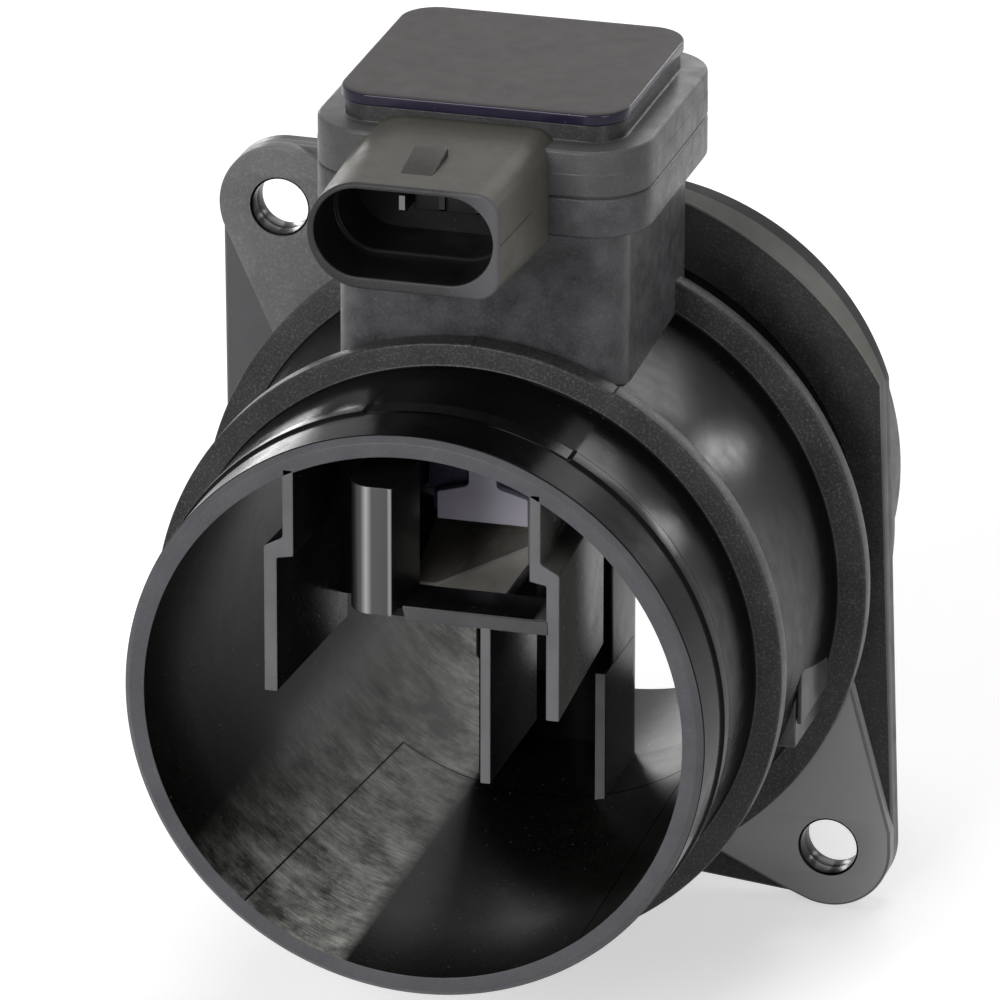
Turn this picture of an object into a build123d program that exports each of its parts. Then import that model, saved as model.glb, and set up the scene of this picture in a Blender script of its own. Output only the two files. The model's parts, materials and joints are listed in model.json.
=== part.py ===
from build123d import *
import math
import os

os.makedirs("parts", exist_ok=True)

# Mass airflow sensor, in millimetres. +Z is up and +Y is the flow axis, towards the air
# cleaner. The origin lies on the bore axis, in the face of the flange that meets the
# air cleaner. The hose spigot, seen from the front, points to -Y.

# Driving sizes of the tube
BORE_R = 37.1
SPIGOT_WALL = 2.9
NECK_SWELL = 0.3
NECK_LENGTH = 31.0
REAR_LENGTH = 31.4
EDGE_BREAK = 0.9
REAR_BORE_FLARE = 1.1
REAR_SPIGOT_R = 41.0
REAR_LEAD_IN = 1.6

# Hose bead, grip bead and collar on the outside of the tube
HOSE_BEAD_R = 44.0
HOSE_BEAD_FROM_MOUTH = 26.0
HOSE_BEAD_THICK = 3.4
GRIP_BEAD_RISE = 0.45
GRIP_BEAD_FROM_MOUTH = 9.2
GRIP_BEAD_WIDTH = 3.4
BODY_R_FRONT = 41.8
BODY_R_REAR = 43.2
COLLAR_R = 47.3
COLLAR_FROM_FLANGE = 17.5
COLLAR_THICK = 3.0
RIB_WIDE_X = (38.4, 41.3)
RIB_WIDE_Z = -17.5
RIB_THIN_X = (41.5, 42.1)
RIB_THIN_Z = -13.9
RIB_TOP_Z = -6.5
RIB_LENGTH = 17.6

# Flange
FLANGE_R = 48.0
FLANGE_THICK = 5.35
WEB_THICK = 3.2
RIM_FRONT = ((9.7, 51.5), (31.4, 41.65), (45.7, 25.2))
RIM_REAR = ((9.7, 51.7), (34.5, 42.7), (46.0, 25.4))
RIM_ROOT = ((20.0, 0.0), (0.0, 30.0))
BOLT_X = 39.55
BOLT_Z = 43.4
BOLT_HOLE_R = 4.0
LOBE_R = 8.8
UPPER_PAD = ((-47.9, 40.5), (-38.9, 20.6), (-20.0, 20.0), (-16.0, 42.3), (-34.2, 50.7), (-39.5, 52.0))
LOWER_PAD = ((48.3, -40.5), (41.3, -14.8), (20.0, -10.0), (14.0, -41.3), (33.7, -50.5), (39.5, -52.0))

# Seal on the rear spigot
SEAL_CORD = 4.0
SEAL_GROOVE_WIDTH = 4.6
SEAL_SHOULDER_R = 45.1
SEAL_SHOULDER_WIDTH = 4.2

# Tower that carries the measuring module
TOWER_HALF_X = 20.15
TOWER_FROM_FLANGE = 8.0
TOWER_LENGTH = 38.1
TOWER_CORNER = 5.5
TOWER_WALL = 2.3
COLLAR_STEP = 3.0
TOWER_TOP_Z = 65.1
COLLAR_HEIGHT = 4.9
TOWER_FLOOR_RISE = 1.4

# Measuring module: frame, plateau and lid
SEAM = 0.25
FRAME_HEIGHT = 6.6
PLATEAU_INSET = 3.75
PLATEAU_HEIGHT = 2.5
LID_THICK = 1.7
LID_OVERHANG = 0.45
LID_EDGE_R = 0.8
TUB_CLEARANCE = 0.35
TUB_WALL = 2.0
TUB_DEPTH = 7.1
TUB_FLOOR = 2.4
LID_GROOVE_DEPTH = 1.0
LID_GROOVE_WIDTH = 1.2

# Connector
SOCKET_REACH = 24.2
SOCKET_X0 = -15.25
SOCKET_X1 = 9.2
SOCKET_DROP = 5.9
SOCKET_HEIGHT = 12.3
SOCKET_DEPTH = 19.0
SOCKET_SEAL_DEPTH = 9.7
SOCKET_STEP = 0.5
SHELL_TOP = 0.85
SHELL_BOTTOM = 1.65
SHELL_LEFT = 1.0
SHELL_RIGHT = 0.9
SHELL_CORNER = 3.2
SHELL_DRAFT = 0.95
BLADE_T = 0.8
BLADE_H = 2.8
BLADE_PITCH = 5.0
BLADE_COUNT = 3
BLADE_X0 = -5.6
BLADE_UP = 1.85
BLADE_RECESS = 8.6
SHORT_BLADE_RECESS = 10.2
LATCH_X0 = -4.8
LATCH_W = 4.5
LATCH_FROM_FRONT = 3.9
LATCH_L = 8.4
LATCH_H = 1.1
NOTCH_W = 0.4
NOTCH_DEPTH = 0.8

# Channel body inside the bore
SIDE_X = 20.3
SIDE_T = 1.8
SIDE_DEPTH = 23.2
LEFT_SIDE_DEPTH = 34.0
SIDE_BOTTOM_Z = 2.0
SIDE_STEP_Z = 22.3
UPPER_X = 17.7
UPPER_T = 1.5
REAR_WALL_T = 1.5
POST_X0 = -9.1
POST_X1 = -2.7
POST_NOSE_R = 3.5
POST_DRAFT = 0.6
POST_DEPTH = 11.8
POST_TOP_Z = 32.6
POST_BOTTOM_Z = 14.45
SHELF_Z0 = 14.1
SHELF_Z1 = 16.2
SHELF_X0 = -1.3
SHELF_DEPTH = 8.0
KEEL_X = 10.2
KEEL_T = 1.4
KEEL_BOTTOM_Z = -8.0
DUCT_HALF_X = 9.8
DUCT_WALL = 1.1
DUCT_FLOOR_Z = 5.5
DUCT_FLOOR_T = 1.2
COLUMN_FRONT_Y = -12.8
COLUMN_NOSE_Y = -1.1
COLUMN_UPPER_Y = -14.8
COLUMN_UPPER_Z = -17.5
COLUMN_FRONT_CORNER = 4.6
RAMP_LENGTH = 10.0
RAMP_FRONT_RISE = (0.4, 8.3)
RAMP_BACK_RISE = (6.4, 11.3)
INLET_Z0 = 12.0
INLET_Z1 = 30.0
INLET_HALF_X = 4.0

# Sensing elements, carrier and electronics
ELEMENT_X = -0.35
ELEMENT_FROM_TOWER = 5.0
ELEMENT_T = 1.6
ELEMENT_HALF_X = 6.35
ELEMENT_Z0 = 14.4
ELEMENT_SIDE_Z = 18.3
ELEMENT_NECK_Z = 19.5
ELEMENT_NECK_HALF_X = 1.95
ELEMENT_TOP_Z = 30.0
ELEMENT_SHOULDER_R = 0.8
STEM_HALF_X = 8.4
STEM_Z0 = 17.8
STEM_T = 4.2
STEM_FLANGE = 2.0
TONGUE_X0 = -7.7
TONGUE_X1 = 5.7
TONGUE_T = 1.4
TONGUE_Z0 = 15.0
STEM_CORNER = 0.6
DIE_SIZE = 2.4
DIE_T = 0.5
PLATE_T = 1.2
BOARD_T = 1.0
BOARD_MARGIN = 1.0
SIGNAL_CHIP = (6.0, 6.0, 1.3)
SIGNAL_CHIP_PLACE = (4.5, 22.1)
BRIDGE_CHIP = (3.6, 3.0, 1.0)
BRIDGE_CHIP_PLACE = (-6.0, 24.1)
CAPACITOR = (2.0, 1.25, 1.0)
CAPACITOR_PLACE = (0.0, 11.1)
CAPACITOR_COUNT = 5
CAPACITOR_PITCH = 4.0
RESISTOR = (1.6, 0.8, 0.5)
RESISTOR_PLACE = (-1.5, 22.5)
RESISTOR_COUNT = 4
RESISTOR_PITCH = 2.6
GEL_DEPTH = 5.2
STRIP_T = 0.3
STRIP_W = 1.4

# Places that follow from the driving sizes
SPIGOT_R = BORE_R + SPIGOT_WALL
NECK_R = SPIGOT_R + NECK_SWELL
TOWER_Y1 = -TOWER_FROM_FLANGE
TOWER_Y0 = TOWER_Y1 - TOWER_LENGTH
MOUTH_Y = TOWER_Y0 - NECK_LENGTH
ELEMENT_Y = TOWER_Y0 + ELEMENT_FROM_TOWER
RAMP_Y0 = ELEMENT_Y
SOCKET_Y = TOWER_Y0 - SOCKET_REACH
REAR_BORE_R = BORE_R + REAR_BORE_FLARE
BEAD_Y = MOUTH_Y + HOSE_BEAD_FROM_MOUTH
SEAL_RING_R = REAR_SPIGOT_R + SEAL_CORD / 2
SHOULDER_Y = SEAL_GROOVE_WIDTH
TOWER_BOX = (-TOWER_HALF_X, TOWER_HALF_X, TOWER_Y0, TOWER_Y1)
SHOULDER_Z = TOWER_TOP_Z - COLLAR_HEIGHT
FRAME_TOP_Z = TOWER_TOP_Z + FRAME_HEIGHT
PLATEAU_TOP_Z = FRAME_TOP_Z + PLATEAU_HEIGHT
TUB_BOTTOM_Z = TOWER_TOP_Z - TUB_DEPTH
TUB_FLOOR_Z = TUB_BOTTOM_Z + TUB_FLOOR
SOCKET_Z0 = TOWER_TOP_Z - SOCKET_DROP
SOCKET_Z1 = SOCKET_Z0 + SOCKET_HEIGHT
BLADE_Z = TOWER_TOP_Z + BLADE_UP
BOARD_Z = TUB_FLOOR_Z + PLATE_T
BOARD_TOP_Z = BOARD_Z + BOARD_T
SHELL_X0 = SOCKET_X0 - SHELL_LEFT
SHELL_X1 = SOCKET_X1 + SHELL_RIGHT
SHELL_Z0 = SOCKET_Z0 - SHELL_BOTTOM
SHELL_Z1 = SOCKET_Z1 + SHELL_TOP


def grown(box, by):
    """A plan rectangle x0, x1, y0, y1 moved outwards by the same amount on each side."""
    x0, x1, y0, y1 = box
    return (x0 - by, x1 + by, y0 - by, y1 + by)


def prism(box, z0, z1, corner=0.0):
    """An upright prism over a plan rectangle with rounded corners."""
    x0, x1, y0, y1 = box
    outline = Rectangle(x1 - x0, y1 - y0)
    if corner > 0:
        outline = fillet(outline.vertices(), corner)
    plan = Plane.XY.offset(z0) * Pos((x0 + x1) / 2, (y0 + y1) / 2) * outline
    return extrude(plan, amount=z1 - z0)


def along_y(outline, y0, y1):
    """A section drawn in X and Z, carried along Y from y0 to y1."""
    return extrude(Plane.XZ.offset(-y0) * outline, amount=-(y1 - y0))


def round_bar(radius, y0, y1):
    """A cylinder on the bore axis."""
    return along_y(Circle(radius), y0, y1)


def block(x0, x1, y0, y1, z0, z1):
    """A square-edged block between two corners."""
    return Pos((x0 + x1) / 2, (y0 + y1) / 2, (z0 + z1) / 2) * Box(x1 - x0, y1 - y0, z1 - z0)


def turned(points):
    """A solid of revolution about the bore axis, from points of radius and Y."""
    return revolve(make_face(Polyline(*points, close=True)), Axis.Y)


def outer_profile():
    """Radius and Y of the tube's outer skin from the mouth to the rear end."""
    grip = MOUTH_Y + GRIP_BEAD_FROM_MOUTH
    return [
        (SPIGOT_R - EDGE_BREAK, MOUTH_Y),
        (SPIGOT_R, MOUTH_Y + EDGE_BREAK),
        (SPIGOT_R, grip),
        (SPIGOT_R + GRIP_BEAD_RISE, grip + GRIP_BEAD_RISE),
        (SPIGOT_R + GRIP_BEAD_RISE, grip + GRIP_BEAD_WIDTH - GRIP_BEAD_RISE),
        (NECK_R, grip + GRIP_BEAD_WIDTH),
        (NECK_R, BEAD_Y),
        (HOSE_BEAD_R - 0.4, BEAD_Y),
        (HOSE_BEAD_R, BEAD_Y + 0.4),
        (HOSE_BEAD_R, BEAD_Y + HOSE_BEAD_THICK - 0.4),
        (HOSE_BEAD_R - 0.4, BEAD_Y + HOSE_BEAD_THICK),
        (BODY_R_FRONT, BEAD_Y + HOSE_BEAD_THICK),
        (BODY_R_REAR, -COLLAR_FROM_FLANGE),
        (COLLAR_R - 0.4, -COLLAR_FROM_FLANGE),
        (COLLAR_R, 0.4 - COLLAR_FROM_FLANGE),
        (COLLAR_R, COLLAR_THICK - 0.4 - COLLAR_FROM_FLANGE),
        (COLLAR_R - 0.4, COLLAR_THICK - COLLAR_FROM_FLANGE),
        (BODY_R_REAR, COLLAR_THICK - COLLAR_FROM_FLANGE),
        (BODY_R_REAR, -WEB_THICK),
        (REAR_SPIGOT_R, -WEB_THICK),
        (REAR_SPIGOT_R, SHOULDER_Y),
        (SEAL_SHOULDER_R, SHOULDER_Y),
        (SEAL_SHOULDER_R, SHOULDER_Y + SEAL_SHOULDER_WIDTH),
        (REAR_SPIGOT_R, SHOULDER_Y + SEAL_SHOULDER_WIDTH),
        (REAR_SPIGOT_R - 0.3, REAR_LENGTH - REAR_LEAD_IN),
        (REAR_SPIGOT_R - 1.2, REAR_LENGTH),
        (0, REAR_LENGTH),
        (0, MOUTH_Y),
    ]


def bore_core():
    """The two mould cores: straight in front, flared from the core joint to the rear end."""
    joint = COLUMN_NOSE_Y + 3.0
    return turned([
        (0, MOUTH_Y - 1),
        (BORE_R, MOUTH_Y - 1),
        (BORE_R, joint),
        (REAR_BORE_R, REAR_LENGTH - 0.6),
        (REAR_BORE_R + 0.6, REAR_LENGTH),
        (REAR_BORE_R + 0.6, REAR_LENGTH + 1),
        (0, REAR_LENGTH + 1),
    ])


def pad(points):
    """A raised pad on the flange between a bolt lobe and the tube."""
    return along_y(make_face(Polyline(*points, close=True)), -FLANGE_THICK, 0)


def rim_section(arc, y):
    """The rim's section in one plane: an arc outside and two straight lines back to the web."""
    outer = ThreePointArc(*arc)
    inner = Polyline(arc[-1], *RIM_ROOT, arc[0])
    return Plane.XZ.offset(-y) * make_face(outer.edges() + inner.edges())


def flange():
    """The air cleaner flange: hull of a half disc, two bolt lobes and the rim, with two pads."""
    lobes = [Pos(sign * BOLT_X, -sign * BOLT_Z) * Circle(LOBE_R) for sign in (-1, 1)]
    half_disc = CenterArc((0, 0), FLANGE_R, 90, 180)
    hull_edges = half_disc.edges() + lobes[0].edges() + lobes[1].edges()
    hull_edges += ThreePointArc(*RIM_FRONT).edges()
    web = along_y(make_hull(hull_edges), -WEB_THICK, 0)
    rim = loft([rim_section(RIM_FRONT, -WEB_THICK), rim_section(RIM_REAR, 0)], ruled=True)
    raised = along_y(lobes[0], -FLANGE_THICK, 0) + along_y(lobes[1], -FLANGE_THICK, 0)
    return web + rim + raised + pad(UPPER_PAD) + pad(LOWER_PAD)


def bolt_holes():
    """The two plain bolt holes through the flange lobes."""
    pin = along_y(Circle(BOLT_HOLE_R), -FLANGE_THICK - 1, 1)
    return Pos(-BOLT_X, 0, BOLT_Z) * pin + Pos(BOLT_X, 0, -BOLT_Z) * pin


def tower():
    """The rectangular tower on the tube, with the wider rim that the module sits on."""
    neck = prism(TOWER_BOX, 15, SHOULDER_Z, TOWER_CORNER)
    rim = prism(grown(TOWER_BOX, COLLAR_STEP), SHOULDER_Z, TOWER_TOP_Z, TOWER_CORNER + COLLAR_STEP)
    return neck + rim


def tower_hollow():
    """The space inside the tower, down to the tube's own wall."""
    room = prism(grown(TOWER_BOX, -TOWER_WALL), 10, TOWER_TOP_Z + 1, TOWER_CORNER - TOWER_WALL)
    return room - round_bar(SPIGOT_R + TOWER_FLOOR_RISE, TOWER_Y0, TOWER_Y1)


def side_wall(sign):
    """One side of the measuring outlet: a thin plate with an outward step."""
    y1 = MOUTH_Y + (SIDE_DEPTH if sign > 0 else LEFT_SIDE_DEPTH)
    outline = Polyline(
        (sign * SIDE_X, SIDE_BOTTOM_Z),
        (sign * SIDE_X, SIDE_STEP_Z + 0.4),
        (sign * UPPER_X, SIDE_STEP_Z + 1.8),
        (sign * UPPER_X, BORE_R),
        (sign * (UPPER_X - UPPER_T), BORE_R),
        (sign * (UPPER_X - UPPER_T), SIDE_STEP_Z - 0.8),
        (sign * (SIDE_X - SIDE_T), SIDE_STEP_Z - 1.2),
        (sign * (SIDE_X - SIDE_T), SIDE_BOTTOM_Z),
        close=True,
    )
    return along_y(make_face(outline), MOUTH_Y, y1)


def post():
    """The divider that faces the hose: sharp at the right, well rounded at the left."""
    y1 = MOUTH_Y + POST_DEPTH
    plan = make_face(Polyline(
        (POST_X0, MOUTH_Y), (POST_X1, MOUTH_Y), (POST_X1 + POST_DRAFT, y1), (POST_X0, y1), close=True))
    left_front = plan.vertices().sort_by(Axis.Y)[:2].sort_by(Axis.X)[0]
    plan = fillet(left_front, POST_NOSE_R)
    return extrude(Plane.XY.offset(POST_BOTTOM_Z) * plan, amount=POST_TOP_Z - POST_BOTTOM_Z)


def shelf():
    """The floor of the right-hand chamber, cut off at a slant beside the divider."""
    outline = Polyline(
        (SHELF_X0, SHELF_Z1),
        (SIDE_X - SIDE_T, SHELF_Z1),
        (SIDE_X - SIDE_T, SHELF_Z0),
        (SHELF_X0 + 1.4, SHELF_Z0),
        close=True,
    )
    return along_y(make_face(outline), MOUTH_Y, MOUTH_Y + SHELF_DEPTH)


def keel():
    """The thin plate under the shelf."""
    x0 = KEEL_X - KEEL_T / 2
    return block(x0, x0 + KEEL_T, MOUTH_Y, MOUTH_Y + SIDE_DEPTH, KEEL_BOTTOM_Z, SHELF_Z0)


def rear_wall():
    """The plates that close the outlet box left and right of the duct, and the web behind the post."""
    z0 = SIDE_BOTTOM_Z + 4
    duct_x = DUCT_HALF_X - DUCT_WALL
    left_y = MOUTH_Y + LEFT_SIDE_DEPTH
    right_y = MOUTH_Y + SIDE_DEPTH
    left = block(-SIDE_X + 0.5, -duct_x, left_y - REAR_WALL_T, left_y, z0, BORE_R)
    right = block(duct_x, SIDE_X - 0.5, right_y - REAR_WALL_T, right_y, z0, BORE_R)
    web = block(POST_X0, POST_X0 + DUCT_WALL, MOUTH_Y + POST_DEPTH - 1, right_y,
                POST_BOTTOM_Z, POST_TOP_Z)
    return left + right + web


def column_plan(half_x, y0, nose_y):
    """Plan of the duct: straight sides with a half-round nose towards the air cleaner."""
    sides = Pos(0, (y0 + nose_y) / 2) * Rectangle(2 * half_x, nose_y - y0)
    return sides + Pos(0, nose_y) * Circle(half_x)


def duct():
    """The bypass duct: a roofed passage from the outlet box to the hollow column."""
    inner_x = DUCT_HALF_X - DUCT_WALL
    y_box = MOUTH_Y + SIDE_DEPTH - REAR_WALL_T
    passage = extrude(Plane.XY.offset(DUCT_FLOOR_Z) * column_plan(DUCT_HALF_X, y_box, COLUMN_NOSE_Y),
                      amount=BORE_R)
    passage -= extrude(Plane.XY.offset(DUCT_FLOOR_Z + DUCT_FLOOR_T)
                       * column_plan(inner_x, y_box - 1, COLUMN_NOSE_Y), amount=BORE_R)
    upper = extrude(Plane.XY.offset(COLUMN_UPPER_Z)
                    * upper_column_plan(DUCT_HALF_X, COLUMN_UPPER_Y, COLUMN_FRONT_CORNER),
                    amount=DUCT_FLOOR_Z - COLUMN_UPPER_Z)
    lower = extrude(Plane.XY.offset(-BORE_R) * column_plan(DUCT_HALF_X, COLUMN_FRONT_Y, COLUMN_NOSE_Y),
                    amount=BORE_R + COLUMN_UPPER_Z)
    hollow = extrude(Plane.XY.offset(COLUMN_UPPER_Z - 0.5)
                     * upper_column_plan(inner_x, COLUMN_UPPER_Y + DUCT_WALL,
                                         COLUMN_FRONT_CORNER - DUCT_WALL),
                     amount=DUCT_FLOOR_Z + DUCT_FLOOR_T + 1 - COLUMN_UPPER_Z)
    mouth = extrude(Plane.XY.offset(-BORE_R - 1) * column_plan(inner_x, COLUMN_FRONT_Y - 1, COLUMN_NOSE_Y),
                    amount=BORE_R + 1 + COLUMN_UPPER_Z)
    inlet = block(-INLET_HALF_X, INLET_HALF_X, COLUMN_NOSE_Y, COLUMN_NOSE_Y + 2 * DUCT_HALF_X,
                  INLET_Z0, INLET_Z1)
    return passage + upper + lower - hollow - mouth - inlet


def upper_column_plan(half_x, y0, corner):
    """Plan of the closed upper column: round front corners and the same half-round nose."""
    sides = Pos(0, (y0 + COLUMN_NOSE_Y) / 2) * Rectangle(2 * half_x, COLUMN_NOSE_Y - y0)
    front = sides.vertices().sort_by(Axis.Y)[:2]
    return fillet(front, corner) + Pos(0, COLUMN_NOSE_Y) * Circle(half_x)


def ramp():
    """The sloped floor that lifts the air onto the sensing elements."""
    x = DUCT_HALF_X - DUCT_WALL + 0.1
    z = DUCT_FLOOR_Z + DUCT_FLOOR_T - 0.1
    ends = ((RAMP_Y0, RAMP_FRONT_RISE), (RAMP_Y0 + RAMP_LENGTH, RAMP_BACK_RISE))
    sections = []
    for y, (left, right) in ends:
        outline = Polyline((-x, z), (x, z), (x, z + right), (-x, z + left), close=True)
        sections.append(Plane.XZ.offset(-y) * make_face(outline))
    return loft(sections, ruled=True)


def roof_window():
    """The opening from the duct up through the tube wall into the tower."""
    x = DUCT_HALF_X - DUCT_WALL - 0.2
    return block(-x, x, ELEMENT_Y - 0.7, stem_box()[3] + 0.9, BORE_R - 4, SPIGOT_R + 8)


def locating_ribs():
    """Two short ribs on the right flank, behind the hose bead."""
    y1 = COLLAR_THICK - COLLAR_FROM_FLANGE
    ribs = block(*RIB_WIDE_X, y1 - RIB_LENGTH, y1, RIB_WIDE_Z, RIB_TOP_Z)
    return ribs + block(*RIB_THIN_X, y1 - RIB_LENGTH, y1, RIB_THIN_Z, RIB_TOP_Z)


def flow_tube():
    """The one moulding that carries everything: tube, flange, tower and channel body."""
    body = turned(outer_profile()) + tower() + flange() + locating_ribs()
    body -= tower_hollow()
    core = bore_core()
    body -= core
    channel = side_wall(-1) + side_wall(1) + post() + shelf() + keel() + rear_wall()
    channel += duct() + ramp()
    body += channel & round_bar(BORE_R + 0.5, MOUTH_Y, REAR_LENGTH)
    body -= roof_window()
    body -= bolt_holes()
    return body


def seal_ring():
    """The rubber ring on the rear spigot, seated against the flange and the shoulder."""
    section = Plane.XY * Pos(SEAL_RING_R, SEAL_GROOVE_WIDTH / 2) * Circle(SEAL_CORD / 2)
    return revolve(section, Axis.Y)


def frame_box():
    """Plan rectangle of the module frame, the same as the tower's rim."""
    return grown(TOWER_BOX, COLLAR_STEP)


def plateau_box():
    """Plan rectangle of the raised seat under the lid."""
    return grown(frame_box(), -PLATEAU_INSET)


def tub_box():
    """Plan rectangle of the module's tub inside the tower."""
    return grown(TOWER_BOX, -TOWER_WALL - TUB_CLEARANCE)


def cavity_box():
    """Plan rectangle of the electronics space."""
    return grown(tub_box(), -TUB_WALL)


def seam_bead():
    """The flat bead of adhesive between the tower and the module frame."""
    outer = prism(grown(frame_box(), -0.25), TOWER_TOP_Z, TOWER_TOP_Z + SEAM,
                  TOWER_CORNER + COLLAR_STEP - 0.25)
    return outer - prism(grown(TOWER_BOX, -TOWER_WALL), TOWER_TOP_Z - 1, TOWER_TOP_Z + 1,
                         TOWER_CORNER - TOWER_WALL)


def socket_outline(inset, left=0.0, right=0.0):
    """The socket's long round opening, in X and Z."""
    half = (SOCKET_Z1 - SOCKET_Z0) / 2 - inset
    x0 = SOCKET_X0 + inset + half
    x1 = SOCKET_X1 - inset - half
    z = (SOCKET_Z0 + SOCKET_Z1) / 2
    core = Pos((x0 + x1) / 2, z) * Rectangle(x1 - x0, 2 * half)
    return core + Pos(x0, z) * Circle(half) + Pos(x1, z) * Circle(half)


def shell_outline(y, grow):
    """The connector's outer section at one Y: round at the left, soft corners at the right."""
    half = (SHELL_Z1 - SHELL_Z0) / 2 + grow
    middle = SHELL_X0 - grow + half
    right = SHELL_X1 + grow
    square = Rectangle(right - middle, 2 * half)
    square = fillet(square.vertices().sort_by(Axis.X)[2:], SHELL_CORNER)
    z = (SHELL_Z0 + SHELL_Z1) / 2
    outline = Pos((middle + right) / 2, z) * square + Pos(middle, z) * Circle(half)
    return Plane.XZ.offset(-y) * outline


def connector():
    """The drafted plug shell with its latch ramp, as solid before the socket is cut."""
    box = frame_box()
    root_y = plateau_box()[2] + 1
    plug = loft([shell_outline(SOCKET_Y, 0), shell_outline(root_y, SHELL_DRAFT)], ruled=True)
    low = plug & block(-40, 40, SOCKET_Y, box[2] - TUB_CLEARANCE, 0, 90)
    high = plug & block(-40, 40, SOCKET_Y, 0, TOWER_TOP_Z + SEAM, 90)
    y0 = SOCKET_Y + LATCH_FROM_FRONT
    y1 = y0 + LATCH_L
    rise = SHELL_DRAFT * (y1 - SOCKET_Y) / (root_y - SOCKET_Y)
    side = Plane.YZ.offset(LATCH_X0) * make_face(Polyline(
        (y0, SHELL_Z1 - 0.2), (y1, SHELL_Z1 - 0.2), (y1, SHELL_Z1 + rise + LATCH_H), close=True))
    return low + high + extrude(side, amount=LATCH_W)


def socket():
    """The socket's hollow, with the step that the plug's seal meets and the coding rib left in."""
    y_step = SOCKET_Y + SOCKET_SEAL_DEPTH
    y_back = SOCKET_Y + SOCKET_DEPTH
    hollow = along_y(socket_outline(0), SOCKET_Y - 1, y_step)
    hollow += along_y(socket_outline(SOCKET_STEP), y_step - 0.1, y_back)
    rib_x0 = BLADE_X0 + BLADE_T / 2 + 0.7
    rib_x1 = BLADE_X0 + (BLADE_COUNT - 1) * BLADE_PITCH + 0.9
    rib_y = SOCKET_Y + BLADE_RECESS + 2.3
    rib = block(rib_x0, rib_x1, rib_y, y_back + 1, BLADE_Z - BLADE_H / 2 - 0.15, SOCKET_Z1 + 1)
    gusset_x = BLADE_X0 - BLADE_T / 2 - 0.05
    brace = along_y(make_face(Polyline(
        (gusset_x, SOCKET_Z1 + 1), (gusset_x, BLADE_Z - BLADE_H / 2 + 1.2),
        (gusset_x - 1.2, BLADE_Z + 1.4), (gusset_x - 2.6, SOCKET_Z1 + 1), close=True)),
        rib_y, y_back + 1)
    return hollow - rib - brace


def blade_x(index):
    """Centre of a terminal blade across the socket."""
    return BLADE_X0 + index * BLADE_PITCH


def blade(index):
    """One flat terminal blade, with tapered tip, from the socket to the circuit board's edge."""
    recess = BLADE_RECESS if index == 0 else SHORT_BLADE_RECESS
    y0 = SOCKET_Y + recess
    y1 = cavity_box()[2] + 2.2
    z0 = BLADE_Z - BLADE_H / 2
    z1 = BLADE_Z + BLADE_H / 2
    side = make_face(Polyline(
        (y0, z0 + 0.4), (y0 + 0.5, z0), (y1, z0), (y1, z1), (y0 + 0.5, z1), (y0, z1 - 0.4),
        close=True))
    return extrude(Plane.YZ.offset(blade_x(index) - BLADE_T / 2) * side, amount=BLADE_T)


def lid_groove(box, z0, z1):
    """A ring-shaped groove that follows the plateau's outline."""
    corner = TOWER_CORNER + COLLAR_STEP - PLATEAU_INSET
    outer = prism(grown(box, -0.9), z0, z1, corner - 0.9)
    inner = prism(grown(box, -0.9 - LID_GROOVE_WIDTH), z0, z1, corner - 0.9 - LID_GROOVE_WIDTH)
    return outer - inner


def module_frame():
    """The connector moulding: frame on the tower, plateau, tub and plug shell."""
    corner = TOWER_CORNER + COLLAR_STEP
    z0 = TOWER_TOP_Z + SEAM
    body = prism(frame_box(), z0, FRAME_TOP_Z, corner)
    top_edges = body.faces().sort_by(Axis.Z)[-1].edges()
    body = chamfer(top_edges, 0.5)
    body += prism(plateau_box(), FRAME_TOP_Z - 0.5, PLATEAU_TOP_Z, corner - PLATEAU_INSET)
    body += prism(tub_box(), TUB_BOTTOM_Z, z0 + 0.5, TOWER_CORNER - TOWER_WALL - TUB_CLEARANCE)
    body += connector()
    body -= prism(cavity_box(), TUB_FLOOR_Z, PLATEAU_TOP_Z + 1, 1.4)
    body -= lid_groove(plateau_box(), PLATEAU_TOP_Z - LID_GROOVE_DEPTH, PLATEAU_TOP_Z + 1)
    body -= socket()
    for index in range(BLADE_COUNT):
        body -= blade(index)
    body -= stem_passage()
    notch_x = SHELL_X1 + SHELL_DRAFT
    body -= block(notch_x, notch_x + NOTCH_W, frame_box()[2] - 1, frame_box()[2] + NOTCH_DEPTH,
                  TOWER_TOP_Z, FRAME_TOP_Z + 1)
    return body


def lid():
    """The lid plate with its soft top edge."""
    corner = TOWER_CORNER + COLLAR_STEP - PLATEAU_INSET + LID_OVERHANG
    plate = prism(grown(plateau_box(), LID_OVERHANG), PLATEAU_TOP_Z, PLATEAU_TOP_Z + LID_THICK, corner)
    return fillet(plate.faces().sort_by(Axis.Z)[-1].edges(), LID_EDGE_R)


def lid_bead():
    """The sealing bead in the groove under the lid."""
    return lid_groove(plateau_box(), PLATEAU_TOP_Z - LID_GROOVE_DEPTH, PLATEAU_TOP_Z)


def stem_box():
    """Plan rectangle of the element carrier's stem, against the back of the element."""
    return (-STEM_HALF_X, STEM_HALF_X, ELEMENT_Y + ELEMENT_T, ELEMENT_Y + ELEMENT_T + STEM_T)


def stem_passage():
    """The slot in the tub floor that the carrier's stem passes down through."""
    return prism(stem_box(), TUB_BOTTOM_Z - 1, TUB_FLOOR_Z + 1, STEM_CORNER)


def element_carrier():
    """The carrier: a wide stem, a thin tongue behind the element and a shoulder under the tub."""
    y0 = stem_box()[2]
    stem = prism(stem_box(), STEM_Z0, TUB_FLOOR_Z, STEM_CORNER)
    tongue = block(TONGUE_X0, TONGUE_X1, y0, y0 + TONGUE_T, TONGUE_Z0, STEM_Z0 + 1)
    shoulder = prism(grown(stem_box(), STEM_FLANGE), SPIGOT_R + 3.5, TUB_BOTTOM_Z, 1.6)
    return stem + tongue + shoulder


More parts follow.
